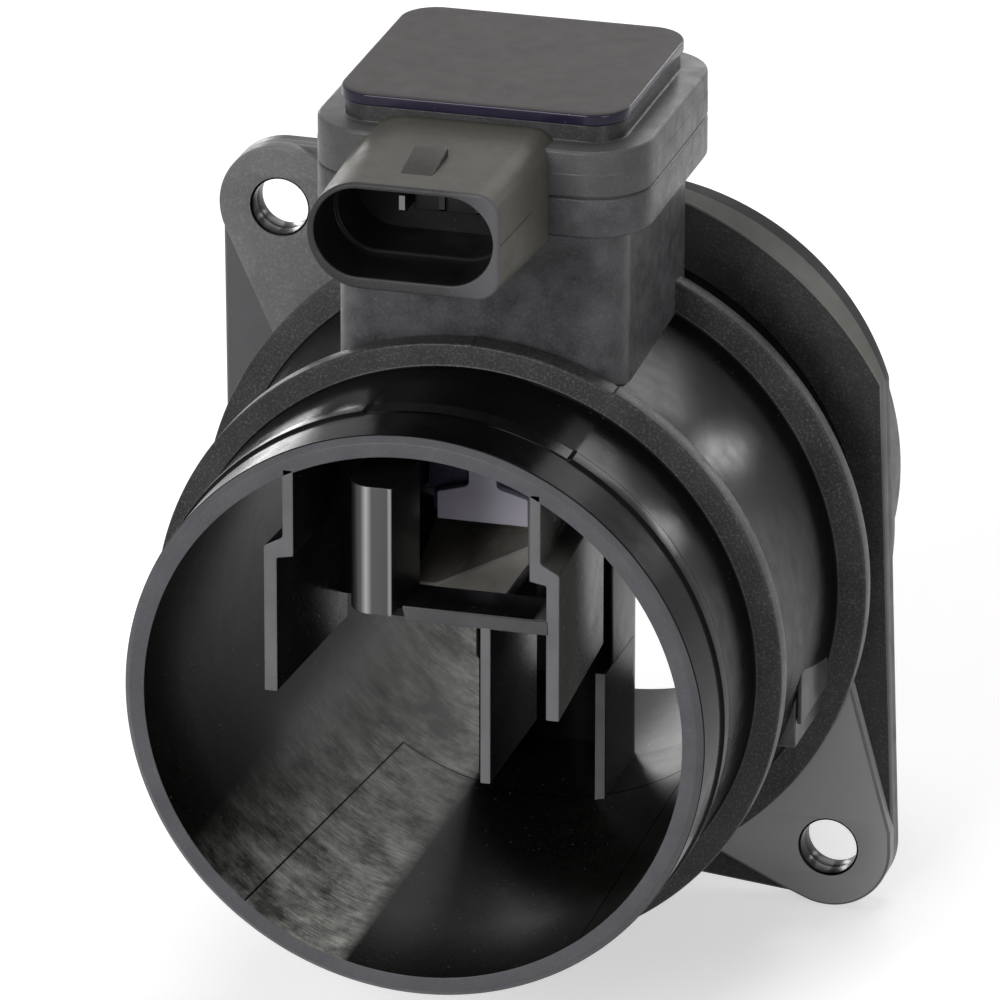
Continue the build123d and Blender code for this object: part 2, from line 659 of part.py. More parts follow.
def sensing_element():
    """The film element: a wide foot with sloping shoulders on a narrow neck."""
    half, neck = ELEMENT_HALF_X, ELEMENT_NECK_HALF_X
    right = [(half, ELEMENT_Z0), (half, ELEMENT_SIDE_Z), (neck, ELEMENT_NECK_Z), (neck, ELEMENT_TOP_Z)]
    outline = right + [(-x, z) for x, z in reversed(right)]
    face = make_face(Polyline(*outline, close=True))
    inner = [v for v in face.vertices() if abs(abs(v.X) - neck) < 0.01 and v.Y < ELEMENT_NECK_Z + 1]
    face = fillet(inner, ELEMENT_SHOULDER_R)
    shoulders = [v for v in face.vertices() if abs(v.Y - ELEMENT_SIDE_Z) < 0.01]
    face = fillet(shoulders, ELEMENT_SHOULDER_R / 2)
    return along_y(Pos(ELEMENT_X, 0) * face, ELEMENT_Y, ELEMENT_Y + ELEMENT_T)


def sensor_die():
    """The silicon die on the other side of the carrier's tongue."""
    y0 = stem_box()[2] + TONGUE_T
    z = (TONGUE_Z0 + STEM_Z0) / 2
    half = DIE_SIZE / 2
    return block(ELEMENT_X - half, ELEMENT_X + half, y0, y0 + DIE_T, z - half, z + half)


def carrier_plate():
    """The metal plate under the circuit board."""
    box = grown(cavity_box(), -0.4)
    plate = prism(box, TUB_FLOOR_Z, BOARD_Z, 1.0)
    return plate


def circuit_board():
    """The ceramic circuit board."""
    return prism(grown(cavity_box(), -BOARD_MARGIN - 0.4), BOARD_Z, BOARD_TOP_Z, 0.6)


def on_board(place, size, steps=(0.0, 0.0)):
    """A block that stands on the board, placed by X and by its distance behind the tower's front."""
    x = place[0] + steps[0]
    y = TOWER_Y0 + place[1] + steps[1]
    return Pos(x, y, BOARD_TOP_Z + size[2] / 2) * Box(*size)


def signal_chip():
    """The signal processor on the board."""
    return on_board(SIGNAL_CHIP_PLACE, SIGNAL_CHIP)


def bridge_chip():
    """The smaller amplifier chip on the board."""
    return on_board(BRIDGE_CHIP_PLACE, BRIDGE_CHIP)


def capacitors():
    """The ceramic capacitors in a row behind the terminals."""
    middle = (CAPACITOR_COUNT - 1) / 2
    steps = [(CAPACITOR_PITCH * (k - middle), 0) for k in range(CAPACITOR_COUNT)]
    return Compound(children=[on_board(CAPACITOR_PLACE, CAPACITOR, step) for step in steps])


def trim_resistors():
    """The chip resistors in a row beside the processor."""
    middle = (RESISTOR_COUNT - 1) / 2
    steps = [(0, RESISTOR_PITCH * (k - middle)) for k in range(RESISTOR_COUNT)]
    return Compound(children=[on_board(RESISTOR_PLACE, RESISTOR, step) for step in steps])


def bond_strip(index):
    """The metal strip that joins one terminal to the board."""
    x = blade_x(index)
    y0 = cavity_box()[2] + 1.5
    foot_y = cavity_box()[2] + 3.6
    z0 = BLADE_Z - BLADE_H / 2
    top = block(x - STRIP_W / 2, x + STRIP_W / 2, y0, foot_y, z0 - STRIP_T, z0)
    leg = block(x - STRIP_W / 2, x + STRIP_W / 2, foot_y - STRIP_T, foot_y, BOARD_TOP_Z, z0)
    return top + leg


def gel():
    """The soft gel that covers the board and fills round its parts."""
    x0, x1, y0, y1 = grown(cavity_box(), -0.1)
    body = prism((x0, x1, y0, y1), BOARD_TOP_Z, BOARD_TOP_Z + GEL_DEPTH, 1.2)
    for piece in (signal_chip(), bridge_chip()):
        body -= piece
    for row in (capacitors(), trim_resistors()):
        for piece in row.solids():
            body -= piece
    for index in range(BLADE_COUNT):
        body -= blade(index)
        body -= bond_strip(index)
    return body


PIECES = {
    "flow_tube": flow_tube,
    "seal_ring": seal_ring,
    "seam_bead": seam_bead,
    "module_frame": module_frame,
    "lid": lid,
    "lid_bead": lid_bead,
    "element_carrier": element_carrier,
    "sensing_element": sensing_element,
    "sensor_die": sensor_die,
    "carrier_plate": carrier_plate,
    "circuit_board": circuit_board,
    "signal_chip": signal_chip,
    "bridge_chip": bridge_chip,
    "capacitors": capacitors,
    "trim_resistors": trim_resistors,
    "gel": gel,
}

for name, make in PIECES.items():
    export_step(make(), f"parts/{name}.step")
for number in range(BLADE_COUNT):
    export_step(blade(number), f"parts/terminal_{number + 1}.step")
    export_step(bond_strip(number), f"parts/bond_strip_{number + 1}.step")
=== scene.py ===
"""Dresses the mass airflow sensor: fine surfaces, moulded-plastic finishes, studio and camera."""
from __future__ import annotations

import json
import logging
import math
from dataclasses import dataclass, field
from enum import Enum

import bmesh
import bpy
import numpy as np
from mathutils import Matrix, Vector
from mathutils.geometry import convex_hull_2d, tessellate_polygon

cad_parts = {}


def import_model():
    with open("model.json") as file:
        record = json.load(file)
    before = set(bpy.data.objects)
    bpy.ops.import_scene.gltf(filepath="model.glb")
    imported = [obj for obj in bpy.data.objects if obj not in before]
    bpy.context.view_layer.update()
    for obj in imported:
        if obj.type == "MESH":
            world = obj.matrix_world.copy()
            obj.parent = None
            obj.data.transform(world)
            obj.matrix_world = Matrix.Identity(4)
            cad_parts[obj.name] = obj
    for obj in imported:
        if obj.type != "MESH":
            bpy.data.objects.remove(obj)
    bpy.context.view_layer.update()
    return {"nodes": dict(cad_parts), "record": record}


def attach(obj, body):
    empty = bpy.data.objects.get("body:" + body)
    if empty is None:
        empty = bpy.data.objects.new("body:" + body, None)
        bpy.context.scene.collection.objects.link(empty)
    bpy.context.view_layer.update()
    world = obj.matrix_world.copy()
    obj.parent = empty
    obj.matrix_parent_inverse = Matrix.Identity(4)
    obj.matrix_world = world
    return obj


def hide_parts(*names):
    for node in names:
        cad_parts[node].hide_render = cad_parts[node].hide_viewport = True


LOG = logging.getLogger("airflow_sensor")
MM = 0.001
SHARP_DEG = 40.0
MERGE_M = 2e-6
WHITE = (1.0, 1.0, 1.0, 1.0)
Array = np.ndarray
Colour = tuple[float, float, float]
Point = tuple[float, float, float]
Socket = bpy.types.NodeSocket


class NodeInput(Enum):
    """Coordinates that a finish may read."""

    OBJECT = "Object"


class Along(Enum):
    """The axis that a flat outline is carried along; the outline lies in the other two, in order."""

    X = 0
    Y = 1
    Z = 2

    def place(self, flat: Array, depth: Array | float) -> Array:
        """Puts flat points into space.

        Args:
            flat: Points of two numbers each, in the last dimension.
            depth: How far along the axis each point stands.

        Returns:
            Points of three numbers each.
        """
        first, second = flat[..., 0], flat[..., 1]
        deep = np.broadcast_to(depth, first.shape)
        order = {Along.X: (deep, first, second), Along.Y: (first, deep, second), Along.Z: (first, second, deep)}
        return np.stack(order[self], axis=-1)


def corner_arcs(before: Array, at: Array, after: Array, radius: Array, steps: int) -> tuple[Array, Array]:
    """Replaces corners by arcs, whose tangent length is the radius times tan of half the turn.

    Args:
        before: The point before each corner.
        at: The corners.
        after: The point after each corner.
        radius: Radius of each arc.
        steps: Points on each arc.

    Returns:
        The arcs' points and their normals, which point to the right of the way along.
    """
    arriving = (at - before) / np.linalg.norm(at - before, axis=1, keepdims=True)
    leaving = (after - at) / np.linalg.norm(after - at, axis=1, keepdims=True)
    cross = arriving[:, 0] * leaving[:, 1] - arriving[:, 1] * leaving[:, 0]
    turn = np.arctan2(cross, (arriving * leaving).sum(axis=1))
    side = np.where(turn < 0, -1.0, 1.0)
    right = np.stack([arriving[:, 1], -arriving[:, 0]], axis=1)
    start = at - arriving * (radius * np.tan(np.abs(turn) / 2))[:, None]
    centre = start - right * (radius * side)[:, None]
    angle = np.arctan2(right[:, 1], right[:, 0])[:, None] + turn[:, None] * np.linspace(0, 1, steps)
    normals = np.stack([np.cos(angle), np.sin(angle)], axis=-1)
    points = centre[:, None] + normals * (radius * side)[:, None, None]
    return points, normals


@dataclass(frozen=True)
class Outline:
    """A closed outline, anticlockwise, with its outward normals."""

    points: Array
    normals: Array

    @classmethod
    def rounded(cls, corners: list[tuple[float, float, float]], steps: int = 7) -> "Outline":
        """An outline from corners, each with its own radius.

        Args:
            corners: First and second coordinate and radius of each corner, anticlockwise.
            steps: Points on each corner.

        Returns:
            The outline.
        """
        table = np.array(corners, dtype=float)
        at = table[:, :2]
        points, normals = corner_arcs(np.roll(at, 1, axis=0), at, np.roll(at, -1, axis=0), table[:, 2], steps)
        return cls(points.reshape(-1, 2), normals.reshape(-1, 2))

    @classmethod
    def rectangle(cls, box: tuple[float, float, float, float], radius: float, steps: int = 7) -> "Outline":
        """A rectangle x0, x1, y0, y1 with round corners."""
        x0, x1, y0, y1 = box
        return cls.rounded([(x0, y0, radius), (x1, y0, radius), (x1, y1, radius), (x0, y1, radius)], steps)

    @classmethod
    def circle(cls, centre: tuple[float, float], radius: float, steps: int = 72) -> "Outline":
        """A circle.

        Args:
            centre: Its centre.
            radius: Its radius.
            steps: Its number of points.

        Returns:
            The outline.
        """
        angle = np.linspace(0, 2 * math.pi, steps, endpoint=False)
        normals = np.stack([np.cos(angle), np.sin(angle)], axis=1)
        return cls(np.array(centre) + radius * normals, normals)

    @classmethod
    def through(cls, points: Array) -> "Outline":
        """An outline through close points; each normal is square to its two neighbours' chord.

        Args:
            points: The points, anticlockwise.

        Returns:
            The outline.
        """
        chord = np.roll(points, -1, axis=0) - np.roll(points, 1, axis=0)
        chord /= np.linalg.norm(chord, axis=1, keepdims=True)
        return cls(points, np.stack([chord[:, 1], -chord[:, 0]], axis=1))

    def moved_out(self, by: float) -> Array:
        """The outline's points moved outwards by one distance."""
        return self.points + by * self.normals


def soft_line(points: list[tuple[float, float, float]], steps: int = 5) -> Array:
    """An open line with round corners.

    Args:
        points: Two coordinates and a radius for each corner; the ends' radius is not used.
        steps: Points on each corner.

    Returns:
        The line's points.
    """
    table = np.array(points, dtype=float)
    at = table[:, :2]
    arcs, _ = corner_arcs(at[:-2], at[1:-1], at[2:], table[1:-1, 2], steps)
    return np.vstack([at[:1], arcs.reshape(-1, 2), at[-1:]])


def edge_rows(start: float, end: float, soft: float, steps: int = 4) -> Array:
    """Rows of offset and depth for a wall between two faces, with a quarter-round edge at each end.

    Args:
        start: Depth of the first face.
        end: Depth of the last face.
        soft: The edges' radius.
        steps: Rows on each edge.

    Returns:
        One row of offset and depth for each loop.
    """
    angle = np.linspace(0, math.pi / 2, steps)
    way = math.copysign(soft, end - start)
    first = np.stack([-soft * (1 - np.sin(angle)), start + way * (1 - np.cos(angle))], axis=1)
    second = np.stack([first[::-1, 0], end - (first[::-1, 1] - start)], axis=1)
    return np.vstack([first, second])


@dataclass
class Skin:
    """Grids and caps in millimetres, gathered into one mesh."""

    name: str
    points: list[Array] = field(default_factory=list)
    quads: list[Array] = field(default_factory=list)
    triangles: list[Array] = field(default_factory=list)
    quad_looks: list[Array] = field(default_factory=list)
    triangle_looks: list[Array] = field(default_factory=list)
    count: int = 0

    def add_points(self, points: Array) -> int:
        """Keeps points and returns the number of the first.

        Args:
            points: Points of three numbers each.

        Returns:
            The first point's number.
        """
        flat = points.reshape(-1, 3)
        first = self.count
        self.points.append(flat)
        self.count += len(flat)
        return first

    def grid(self, net: Array, close_rows: bool = False, close_around: bool = True,
             look: int | Array = 0) -> None:
        """Joins a net of points by quads.

        Args:
            net: Rows by columns by three.
            close_rows: Joins the last row to the first.
            close_around: Joins the last column to the first.
            look: The material's number, one for all or one for each row.
        """
        rows, columns = net.shape[:2]
        number = self.add_points(net) + np.arange(rows * columns).reshape(rows, columns)
        if close_rows:
            number = np.vstack([number, number[:1]])
        if close_around:
            number = np.hstack([number, number[:, :1]])
        quads = np.stack([number[:-1, :-1], number[:-1, 1:], number[1:, 1:], number[1:, :-1]], axis=-1)
        looks = np.broadcast_to(np.reshape(look, (-1, 1)), quads.shape[:2]) if np.ndim(look) else np.full(
            quads.shape[:2], look)
        self.quads.append(quads.reshape(-1, 4))
        self.quad_looks.append(looks.reshape(-1))

    def cap(self, rings: list[Array], look: int = 0) -> None:
        """Closes a flat ring of points, less the rings inside it.

        Args:
            rings: The outer ring and then the inner ones.
            look: The material's number.
        """
        triangles = np.array(tessellate_polygon([[Vector(p) for p in ring] for ring in rings]))
        first = self.add_points(np.vstack(rings))
        self.triangles.append(triangles.reshape(-1, 3) + first)
        self.triangle_looks.append(np.full(len(triangles), look))

    def carry(self, outline: Outline, rows: Array, along: Along, caps: bool = True, look: int | Array = 0,
              lean: tuple[float, float] = (0.0, 0.0)) -> None:
        """Carries an outline through rows of offset and depth.

        Args:
            outline: The closed outline.
            rows: How far the outline is moved out, and its depth, row by row.
            along: The axis of the depth.
            caps: Closes the first and last row.
            look: The material's number, one for all or one for each row.
            lean: How far the last row is moved sideways; the rows between follow evenly.
        """
        share = (rows[:, 1] - rows[0, 1]) / (rows[-1, 1] - rows[0, 1])
        shift = share[:, None] * np.array(lean)
        loops = [along.place(outline.moved_out(offset) + aside, depth)
                 for (offset, depth), aside in zip(rows, shift)]
        self.grid(np.stack(loops), look=look)
        if caps:
            looks = np.ravel(look)
            self.cap([loops[0]], int(looks[0]))
            self.cap([loops[-1]], int(looks[-1]))

    def box(self, low: Point, high: Point, soft: float = 0.15, look: int = 0) -> None:
        """A plate or bar between two corners with soft edges all round."""
        outline = Outline.rectangle((low[0], high[0], low[1], high[1]), soft * 1.2, 4)
        self.carry(outline, edge_rows(low[2], high[2], soft), Along.Z, look=look)

    def build(self, materials: list[bpy.types.Material], slot: str, nodes: tuple[str, ...]) -> bpy.types.Object:
        """Makes the object, rides it on the body and hides the CAD nodes that it stands for.

        Args:
            materials: The mesh's materials, in the looks' order.
            slot: The part's material slot; not used.
            nodes: The CAD nodes that it replaces.

        Returns:
            The finished object.
        """
        quads = np.vstack(self.quads)
        triangles = np.vstack(self.triangles) if self.triangles else np.empty((0, 3), dtype=int)
        looks = np.concatenate([*self.quad_looks, *self.triangle_looks]).astype(np.int32)
        corners = np.concatenate([quads.ravel(), triangles.ravel()]).astype(np.int32)
        sizes = np.concatenate([np.full(len(quads), 4), np.full(len(triangles), 3)])
        starts = np.concatenate([[0], np.cumsum(sizes)[:-1]]).astype(np.int32)
        mesh = bpy.data.meshes.new(self.name)
        mesh.vertices.add(self.count)
        mesh.vertices.foreach_set("co", (np.vstack(self.points) * MM).astype(np.float32).ravel())
        mesh.loops.add(len(corners))
        mesh.loops.foreach_set("vertex_index", corners)
        mesh.polygons.add(len(sizes))
        mesh.polygons.foreach_set("loop_start", starts)
        mesh.polygons.foreach_set("material_index", looks)
        mesh.update(calc_edges=True)
        mesh.validate()
        tidy = bmesh.new()
        tidy.from_mesh(mesh)
        bmesh.ops.remove_doubles(tidy, verts=tidy.verts, dist=MERGE_M)
        bmesh.ops.recalc_face_normals(tidy, faces=tidy.faces)
        tidy.to_mesh(mesh)
        tidy.free()
        for material in materials:
            mesh.materials.append(material)
        mesh.polygons.foreach_set("use_smooth", np.ones(len(mesh.polygons), dtype=bool))
        mesh.set_sharp_from_angle(angle=math.radians(SHARP_DEG))
        piece = bpy.data.objects.new(self.name, mesh)
        bpy.context.scene.collection.objects.link(piece)
        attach(piece, "root")
        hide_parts(*nodes)
        LOG.info("built %s with %d faces", self.name, len(mesh.polygons))
        return piece


class NodeGraph:
    """A short way to write the node tree of one finish."""

    def __init__(self, name: str) -> None:
        """Starts an empty tree with a Principled shader and its output.

        Args:
            name: The material's name.
        """
        self.material = bpy.data.materials.new(name)
        self.material.use_nodes = True
        self.tree = self.material.node_tree
        self.tree.nodes.clear()
        self.output = self.tree.nodes.new("ShaderNodeOutputMaterial")
        self.shader = self.tree.nodes.new("ShaderNodeBsdfPrincipled")
        self.link(self.shader.outputs[0], self.output.inputs["Surface"])
        coordinates = self.tree.nodes.new("ShaderNodeTexCoord")
        self.place = coordinates.outputs[NodeInput.OBJECT.value]

    def link(self, source: Socket, target: Socket) -> None:
        """Joins an output socket to an input socket."""
        self.tree.links.new(source, target)

    def put(self, socket: Socket, value: float | tuple | Socket) -> None:
        """Sets a socket from a number or tuple, or joins it to another socket.

        Args:
            socket: The input socket.
            value: The number, the tuple or the output socket.
        """
        if isinstance(value, Socket):
            self.link(value, socket)
        else:
            socket.default_value = value

    def math(self, operation: str, a: float | Socket, b: float | Socket = 0.0) -> Socket:
        """One arithmetic node.

        Args:
            operation: Blender's name for the operation.
            a: First value or socket.
            b: Second value or socket.

        Returns:
            The socket that carries the answer.
        """
        node = self.tree.nodes.new("ShaderNodeMath")
        node.operation = operation
        self.put(node.inputs[0], a)
        self.put(node.inputs[1], b)
        return node.outputs[0]

    def axes(self) -> list[Socket]:
        """The object coordinates' three parts.

        Returns:
            The sockets of X, Y and Z.
        """
        node = self.tree.nodes.new("ShaderNodeSeparateXYZ")
        self.link(self.place, node.inputs[0])
        return list(node.outputs)

    def scaled(self, scale: Point, turn: Point = (0, 0, 0)) -> Socket:
        """Object coordinates, stretched and turned for a directional pattern.

        Args:
            scale: The stretch along each axis.
            turn: The turn about each axis.

        Returns:
            The socket that carries the answer.
        """
        node = self.tree.nodes.new("ShaderNodeMapping")
        self.link(self.place, node.inputs["Vector"])
        node.inputs["Scale"].default_value = scale
        node.inputs["Rotation"].default_value = turn
        return node.outputs[0]

    def noise(self, size_mm: float, detail: float = 3.0, roughness: float = 0.55,
              vector: Socket | None = None) -> Socket:
        """A cloud pattern whose features are about size_mm across.

        Args:
            size_mm: The features' size.
            detail: Octaves.
            roughness: How strong the finer octaves are.
            vector: The coordinates; the object's own where there are none.

        Returns:
            The socket that carries the answer.
        """
        node = self.tree.nodes.new("ShaderNodeTexNoise")
        node.inputs["Scale"].default_value = 1.0 / (size_mm * MM)
        node.inputs["Detail"].default_value = detail
        node.inputs["Roughness"].default_value = roughness
        self.link(vector or self.place, node.inputs["Vector"])
        return node.outputs["Fac"]

    def cells(self, size_mm: float) -> Socket:
        """The distance to the nearest of many scattered points.

        Args:
            size_mm: The points' spacing.

        Returns:
            The socket that carries the answer.
        """
        node = self.tree.nodes.new("ShaderNodeTexVoronoi")
        node.inputs["Scale"].default_value = 1.0 / (size_mm * MM)
        self.link(self.place, node.inputs["Vector"])
        return node.outputs["Distance"]

    def ramp(self, value: Socket, low: float, high: float, out_low: float = 0.0,
             out_high: float = 1.0) -> Socket:
        """Carries value from the span low..high to out_low..out_high, held at both ends.

        Args:
            value: The socket to carry.
            low: The span's start.
            high: The span's end.
            out_low: The answer at the start.
            out_high: The answer at the end.

        Returns:
            The socket that carries the answer.
        """
        node = self.tree.nodes.new("ShaderNodeMapRange")
        node.clamp = True
        self.put(node.inputs["Value"], value)
        for name, number in (("From Min", low), ("From Max", high), ("To Min", out_low), ("To Max", out_high)):
            node.inputs[name].default_value = number
        return node.outputs[0]

    def blend(self, share: Socket, first: Colour | Socket, second: Colour | Socket) -> Socket:
        """Mixes two colours by a share from 0 to 1.

        Args:
            share: The second colour's share.
            first: The first colour.
            second: The second colour.

        Returns:
            The socket that carries the answer.
        """
        node = self.tree.nodes.new("ShaderNodeMix")
        node.data_type = "RGBA"
        self.put(node.inputs["Factor"], share)
        for socket, value in ((node.inputs[6], first), (node.inputs[7], second)):
            self.put(socket, value if isinstance(value, Socket) else (*value, 1.0))
        return node.outputs[2]

    def bump(self, height: Socket, strength: float, distance_mm: float,
             normal: Socket | None = None) -> Socket:
        """Turns a height into a bent normal.

        Args:
            height: The height's socket.
            strength: How strong the relief is.
            distance_mm: The height of a full step.
            normal: A normal that is already bent.

        Returns:
            The socket that carries the answer.
        """
        node = self.tree.nodes.new("ShaderNodeBump")
        node.inputs["Strength"].default_value = strength
        node.inputs["Distance"].default_value = distance_mm * MM
        self.link(height, node.inputs["Height"])
        if normal is not None:
            self.link(normal, node.inputs["Normal"])
        return node.outputs[0]


@dataclass(frozen=True)
class MouldedPlastic:
    """Glass-filled black plastic: fine grain, cloudy tone, salt-and-pepper fibre ends, specks and streaks."""

    name: str
    colour: Colour = (0.011, 0.011, 0.012)
    pale: Colour = (0.020, 0.020, 0.021)
    roughness: float = 0.36
    roughness_swing: float = 0.08
    grain_mm: float = 0.3
    grain: float = 0.12
    cloud_mm: float = 7.0
    salt: float = 0.0
    salt_colour: Colour = (0.16, 0.16, 0.15)
    specks: float = 0.25
    streaks: float = 0.0
    streak_way: Point = (1.0, 0.04, 1.0)
    specular: float = 0.2

    def tone(self, graph: NodeGraph) -> Socket:
        """The colour: clouds, then pale fibre ends, then scattered dust specks.

        Args:
            graph: The finish's node graph.

        Returns:
            The colour's socket.
        """
        share = graph.ramp(graph.noise(self.cloud_mm, 4.0, 0.6), 0.32, 0.72)
        tone = graph.blend(share, self.colour, self.pale)
        if self.salt:
            fibre = graph.ramp(graph.noise(self.grain_mm * 1.3, 2.0, 0.7), 0.5, 0.72)
            patch = graph.ramp(graph.noise(self.cloud_mm * 0.5, 2.0), 0.3, 0.7, 0.55, 1.0)
            amount = graph.math("MULTIPLY", graph.math("MULTIPLY", fibre, patch), self.salt)
            tone = graph.blend(amount, tone, self.salt_colour)
        speck = graph.ramp(graph.cells(1.1), 0.05, 0.13, 1.0, 0.0)
        chance = graph.ramp(graph.noise(2.6, 1.0), 0.56, 0.64)
        speck = graph.math("MULTIPLY", graph.math("MULTIPLY", speck, chance), self.specks)
        return graph.blend(speck, tone, (0.24, 0.24, 0.22))

    def hairlines(self, graph: NodeGraph) -> Socket | None:
        """1 on the mould's hairlines and 0 elsewhere, or None where the plastic has none.

        Args:
            graph: The finish's node graph.

        Returns:
            The socket, or None.
        """
        return None

    def relief(self, graph: NodeGraph) -> Socket:
        """The bent normal: fine grain, and streaks where the finish has them.

        Args:
            graph: The finish's node graph.

        Returns:
            The normal's socket.
        """
        normal = graph.bump(graph.noise(self.grain_mm, 2.0, 0.6), self.grain, 0.1)
        if self.streaks:
            streak = graph.noise(0.7, 3.0, 0.6, graph.scaled(self.streak_way))
            normal = graph.bump(streak, self.streaks, 0.15, normal)
        return normal

    def build(self) -> bpy.types.Material:
        """Makes the material.

        Returns:
            The material.
        """
        graph = NodeGraph(self.name)
        tone = self.tone(graph)
        line = self.hairlines(graph)
        gloss = graph.shader.inputs["Specular IOR Level"]
        gloss.default_value = self.specular
        if line is not None:
            tone = graph.blend(line, tone, (0.001, 0.001, 0.001))
            graph.link(graph.ramp(line, 0.0, 1.0, self.specular, 0.0), gloss)
        graph.link(tone, graph.shader.inputs["Base Color"])
        swing = graph.ramp(graph.noise(self.cloud_mm * 0.4, 3.0), 0.3, 0.7,
                           self.roughness - self.roughness_swing, self.roughness + self.roughness_swing)
        graph.link(swing, graph.shader.inputs["Roughness"])
        graph.link(self.relief(graph), graph.shader.inputs["Normal"])
        return graph.material


@dataclass(frozen=True)
class PaintedLightBandPlastic(MouldedPlastic):
    """Plastic with painted light and shade in bands across X; stops hold X in mm and the share of the pale,
    painted-light tone.
    """

    painted_light_tone: Colour = (0.3, 0.3, 0.31)
    stops: tuple[tuple[float, float], ...] = ((0.0, 0.0), (1.0, 1.0))

    def tone(self, graph: NodeGraph) -> Socket:
        """The plain tone, mixed with the painted-light tone by a share that runs straight between the stops.

        Args:
            graph: The finish's node graph.

        Returns:
            The colour's socket.
        """
        across = graph.axes()[0]
        share = self.stops[0][1]
        for (start, first), (end, last) in zip(self.stops, self.stops[1:]):
            share = graph.math("ADD", graph.ramp(across, start * MM, end * MM, 0.0, last - first), share)
        # painted light and shade: the pale tone's share follows X only
        return graph.blend(share, super().tone(graph), self.painted_light_tone)


@dataclass(frozen=True)
class ScuffedBorePaintedReflection(MouldedPlastic):
    """The bore's wall: fine turning scratches, dust, the hairlines where the mould's parts met, and a painted
    reflection on its lower left.
    """

    brushed_painted_reflection: Colour = (0.82, 0.815, 0.76)
    reflection_patch_deg: tuple[float, float, float, float] = (-146.0, -118.0, -107.5, -104.0)
    line_half_deg: float = 0.28
    left_line_deg: tuple[float, float] = (-128.9, -122.2)
    right_line_deg: tuple[float, float] = (-51.2, -54.4)
    front_y: float = -77.1
    joint_y: float = -12.8
    ring_top_z: float = -31.35
    ring_right_higher: float = 1.4

    def tone(self, graph: NodeGraph) -> Socket:
        """The plain tone, with a painted reflection on the lower left of the wall, finely striped along its
        scratches.

        Args:
            graph: The finish's node graph.

        Returns:
            The colour's socket.
        """
        x, _, z = graph.axes()
        angle = graph.math("ARCTAN2", z, x)
        rise, full, fall, end = (math.radians(degrees) for degrees in self.reflection_patch_deg)
        # painted reflection: a pale patch between these angles about the bore's axis, striped along the scratches
        patch = graph.math("MULTIPLY", graph.ramp(angle, rise, full), graph.ramp(angle, fall, end, 1.0, 0.0))
        stripes = graph.ramp(graph.noise(0.3, 3.0, 0.7, graph.scaled((0.07, 1.0, 0.07), (0.25, 0.0, 0.12))),
                             0.38, 0.66, 0.45, 1.0)
        clouds = graph.ramp(graph.noise(7.0, 7.0, 0.72), 0.38, 0.66, 0.14, 1.0)
        share = graph.math("MULTIPLY", patch, graph.math("MULTIPLY", stripes, clouds))
        return graph.blend(share, super().tone(graph), self.brushed_painted_reflection)

    def hairline(self, graph: NodeGraph, angle: Socket, y: Socket, line_deg: tuple[float, float]) -> Socket:
        """1 on a line that runs from one angle at the mouth to another at the mould joint.

        Args:
            graph: The finish's node graph.
            angle: The angle about the bore's axis.
            y: The place along it.
            line_deg: The line's angle at the mouth and at the joint.

        Returns:
            The socket that carries the answer.
        """
        start, end = line_deg
        along = graph.ramp(y, self.front_y * MM, self.joint_y * MM, math.radians(start), math.radians(end))
        away = graph.math("ABSOLUTE", graph.math("SUBTRACT", angle, along))
        half = math.radians(self.line_half_deg)
        return graph.math("MULTIPLY", graph.ramp(away, half * 0.4, half, 1.0, 0.0),
                          graph.math("LESS_THAN", y, self.joint_y * MM))

    def hairlines(self, graph: NodeGraph) -> Socket:
        """The two lines along the bore and the arc that joins them at the mould joint.

        Args:
            graph: The finish's node graph.

        Returns:
            The socket that carries the answer.
        """
        x, y, z = graph.axes()
        angle = graph.math("ARCTAN2", z, x)
        line = self.hairline(graph, angle, y, self.left_line_deg)
        line = graph.math("MAXIMUM", line, self.hairline(graph, angle, y, self.right_line_deg))
        ring = graph.ramp(graph.math("ABSOLUTE", graph.math("SUBTRACT", y, self.joint_y * MM)),
                          0.1 * MM, 0.24 * MM, 1.0, 0.0)
        higher = graph.math("MULTIPLY", graph.math("GREATER_THAN", x, 0.0), self.ring_right_higher * MM)
        below = graph.math("LESS_THAN", graph.math("SUBTRACT", z, higher), self.ring_top_z * MM)
        return graph.math("MAXIMUM", line, graph.math("MULTIPLY", ring, below))

    def relief(self, graph: NodeGraph) -> Socket:
        """Grain, and long fine scratches that run round the bore.

        Args:
            graph: The finish's node graph.

        Returns:
            The normal's socket.
        """
        arcs = graph.noise(0.14, 2.0, 0.6, graph.scaled((0.02, 1.0, 0.02), (0.12, 0.0, 0.06)))
        return graph.bump(arcs, 0.05, 0.1, super().relief(graph))


@dataclass(frozen=True)
class SeamedShell(MouldedPlastic):
    """The plug shell's plastic with the short mould line on its right side."""

    line_z: float = 65.3
    end_y: float = -56.5
    side_x: float = 9.6

    def hairlines(self, graph: NodeGraph) -> Socket:
        """The line at one height, on the right side only, from the front to its end.

        Args:
            graph: The finish's node graph.

        Returns:
            The socket that carries the answer.
        """
        x, y, z = graph.axes()
        away = graph.math("ABSOLUTE", graph.math("SUBTRACT", z, self.line_z * MM))
        near = graph.ramp(away, 0.05 * MM, 0.13 * MM, 0.8, 0.0)
        beside = graph.math("GREATER_THAN", x, self.side_x * MM)
        before = graph.math("LESS_THAN", y, self.end_y * MM)
        return graph.math("MULTIPLY", near, graph.math("MULTIPLY", beside, before))


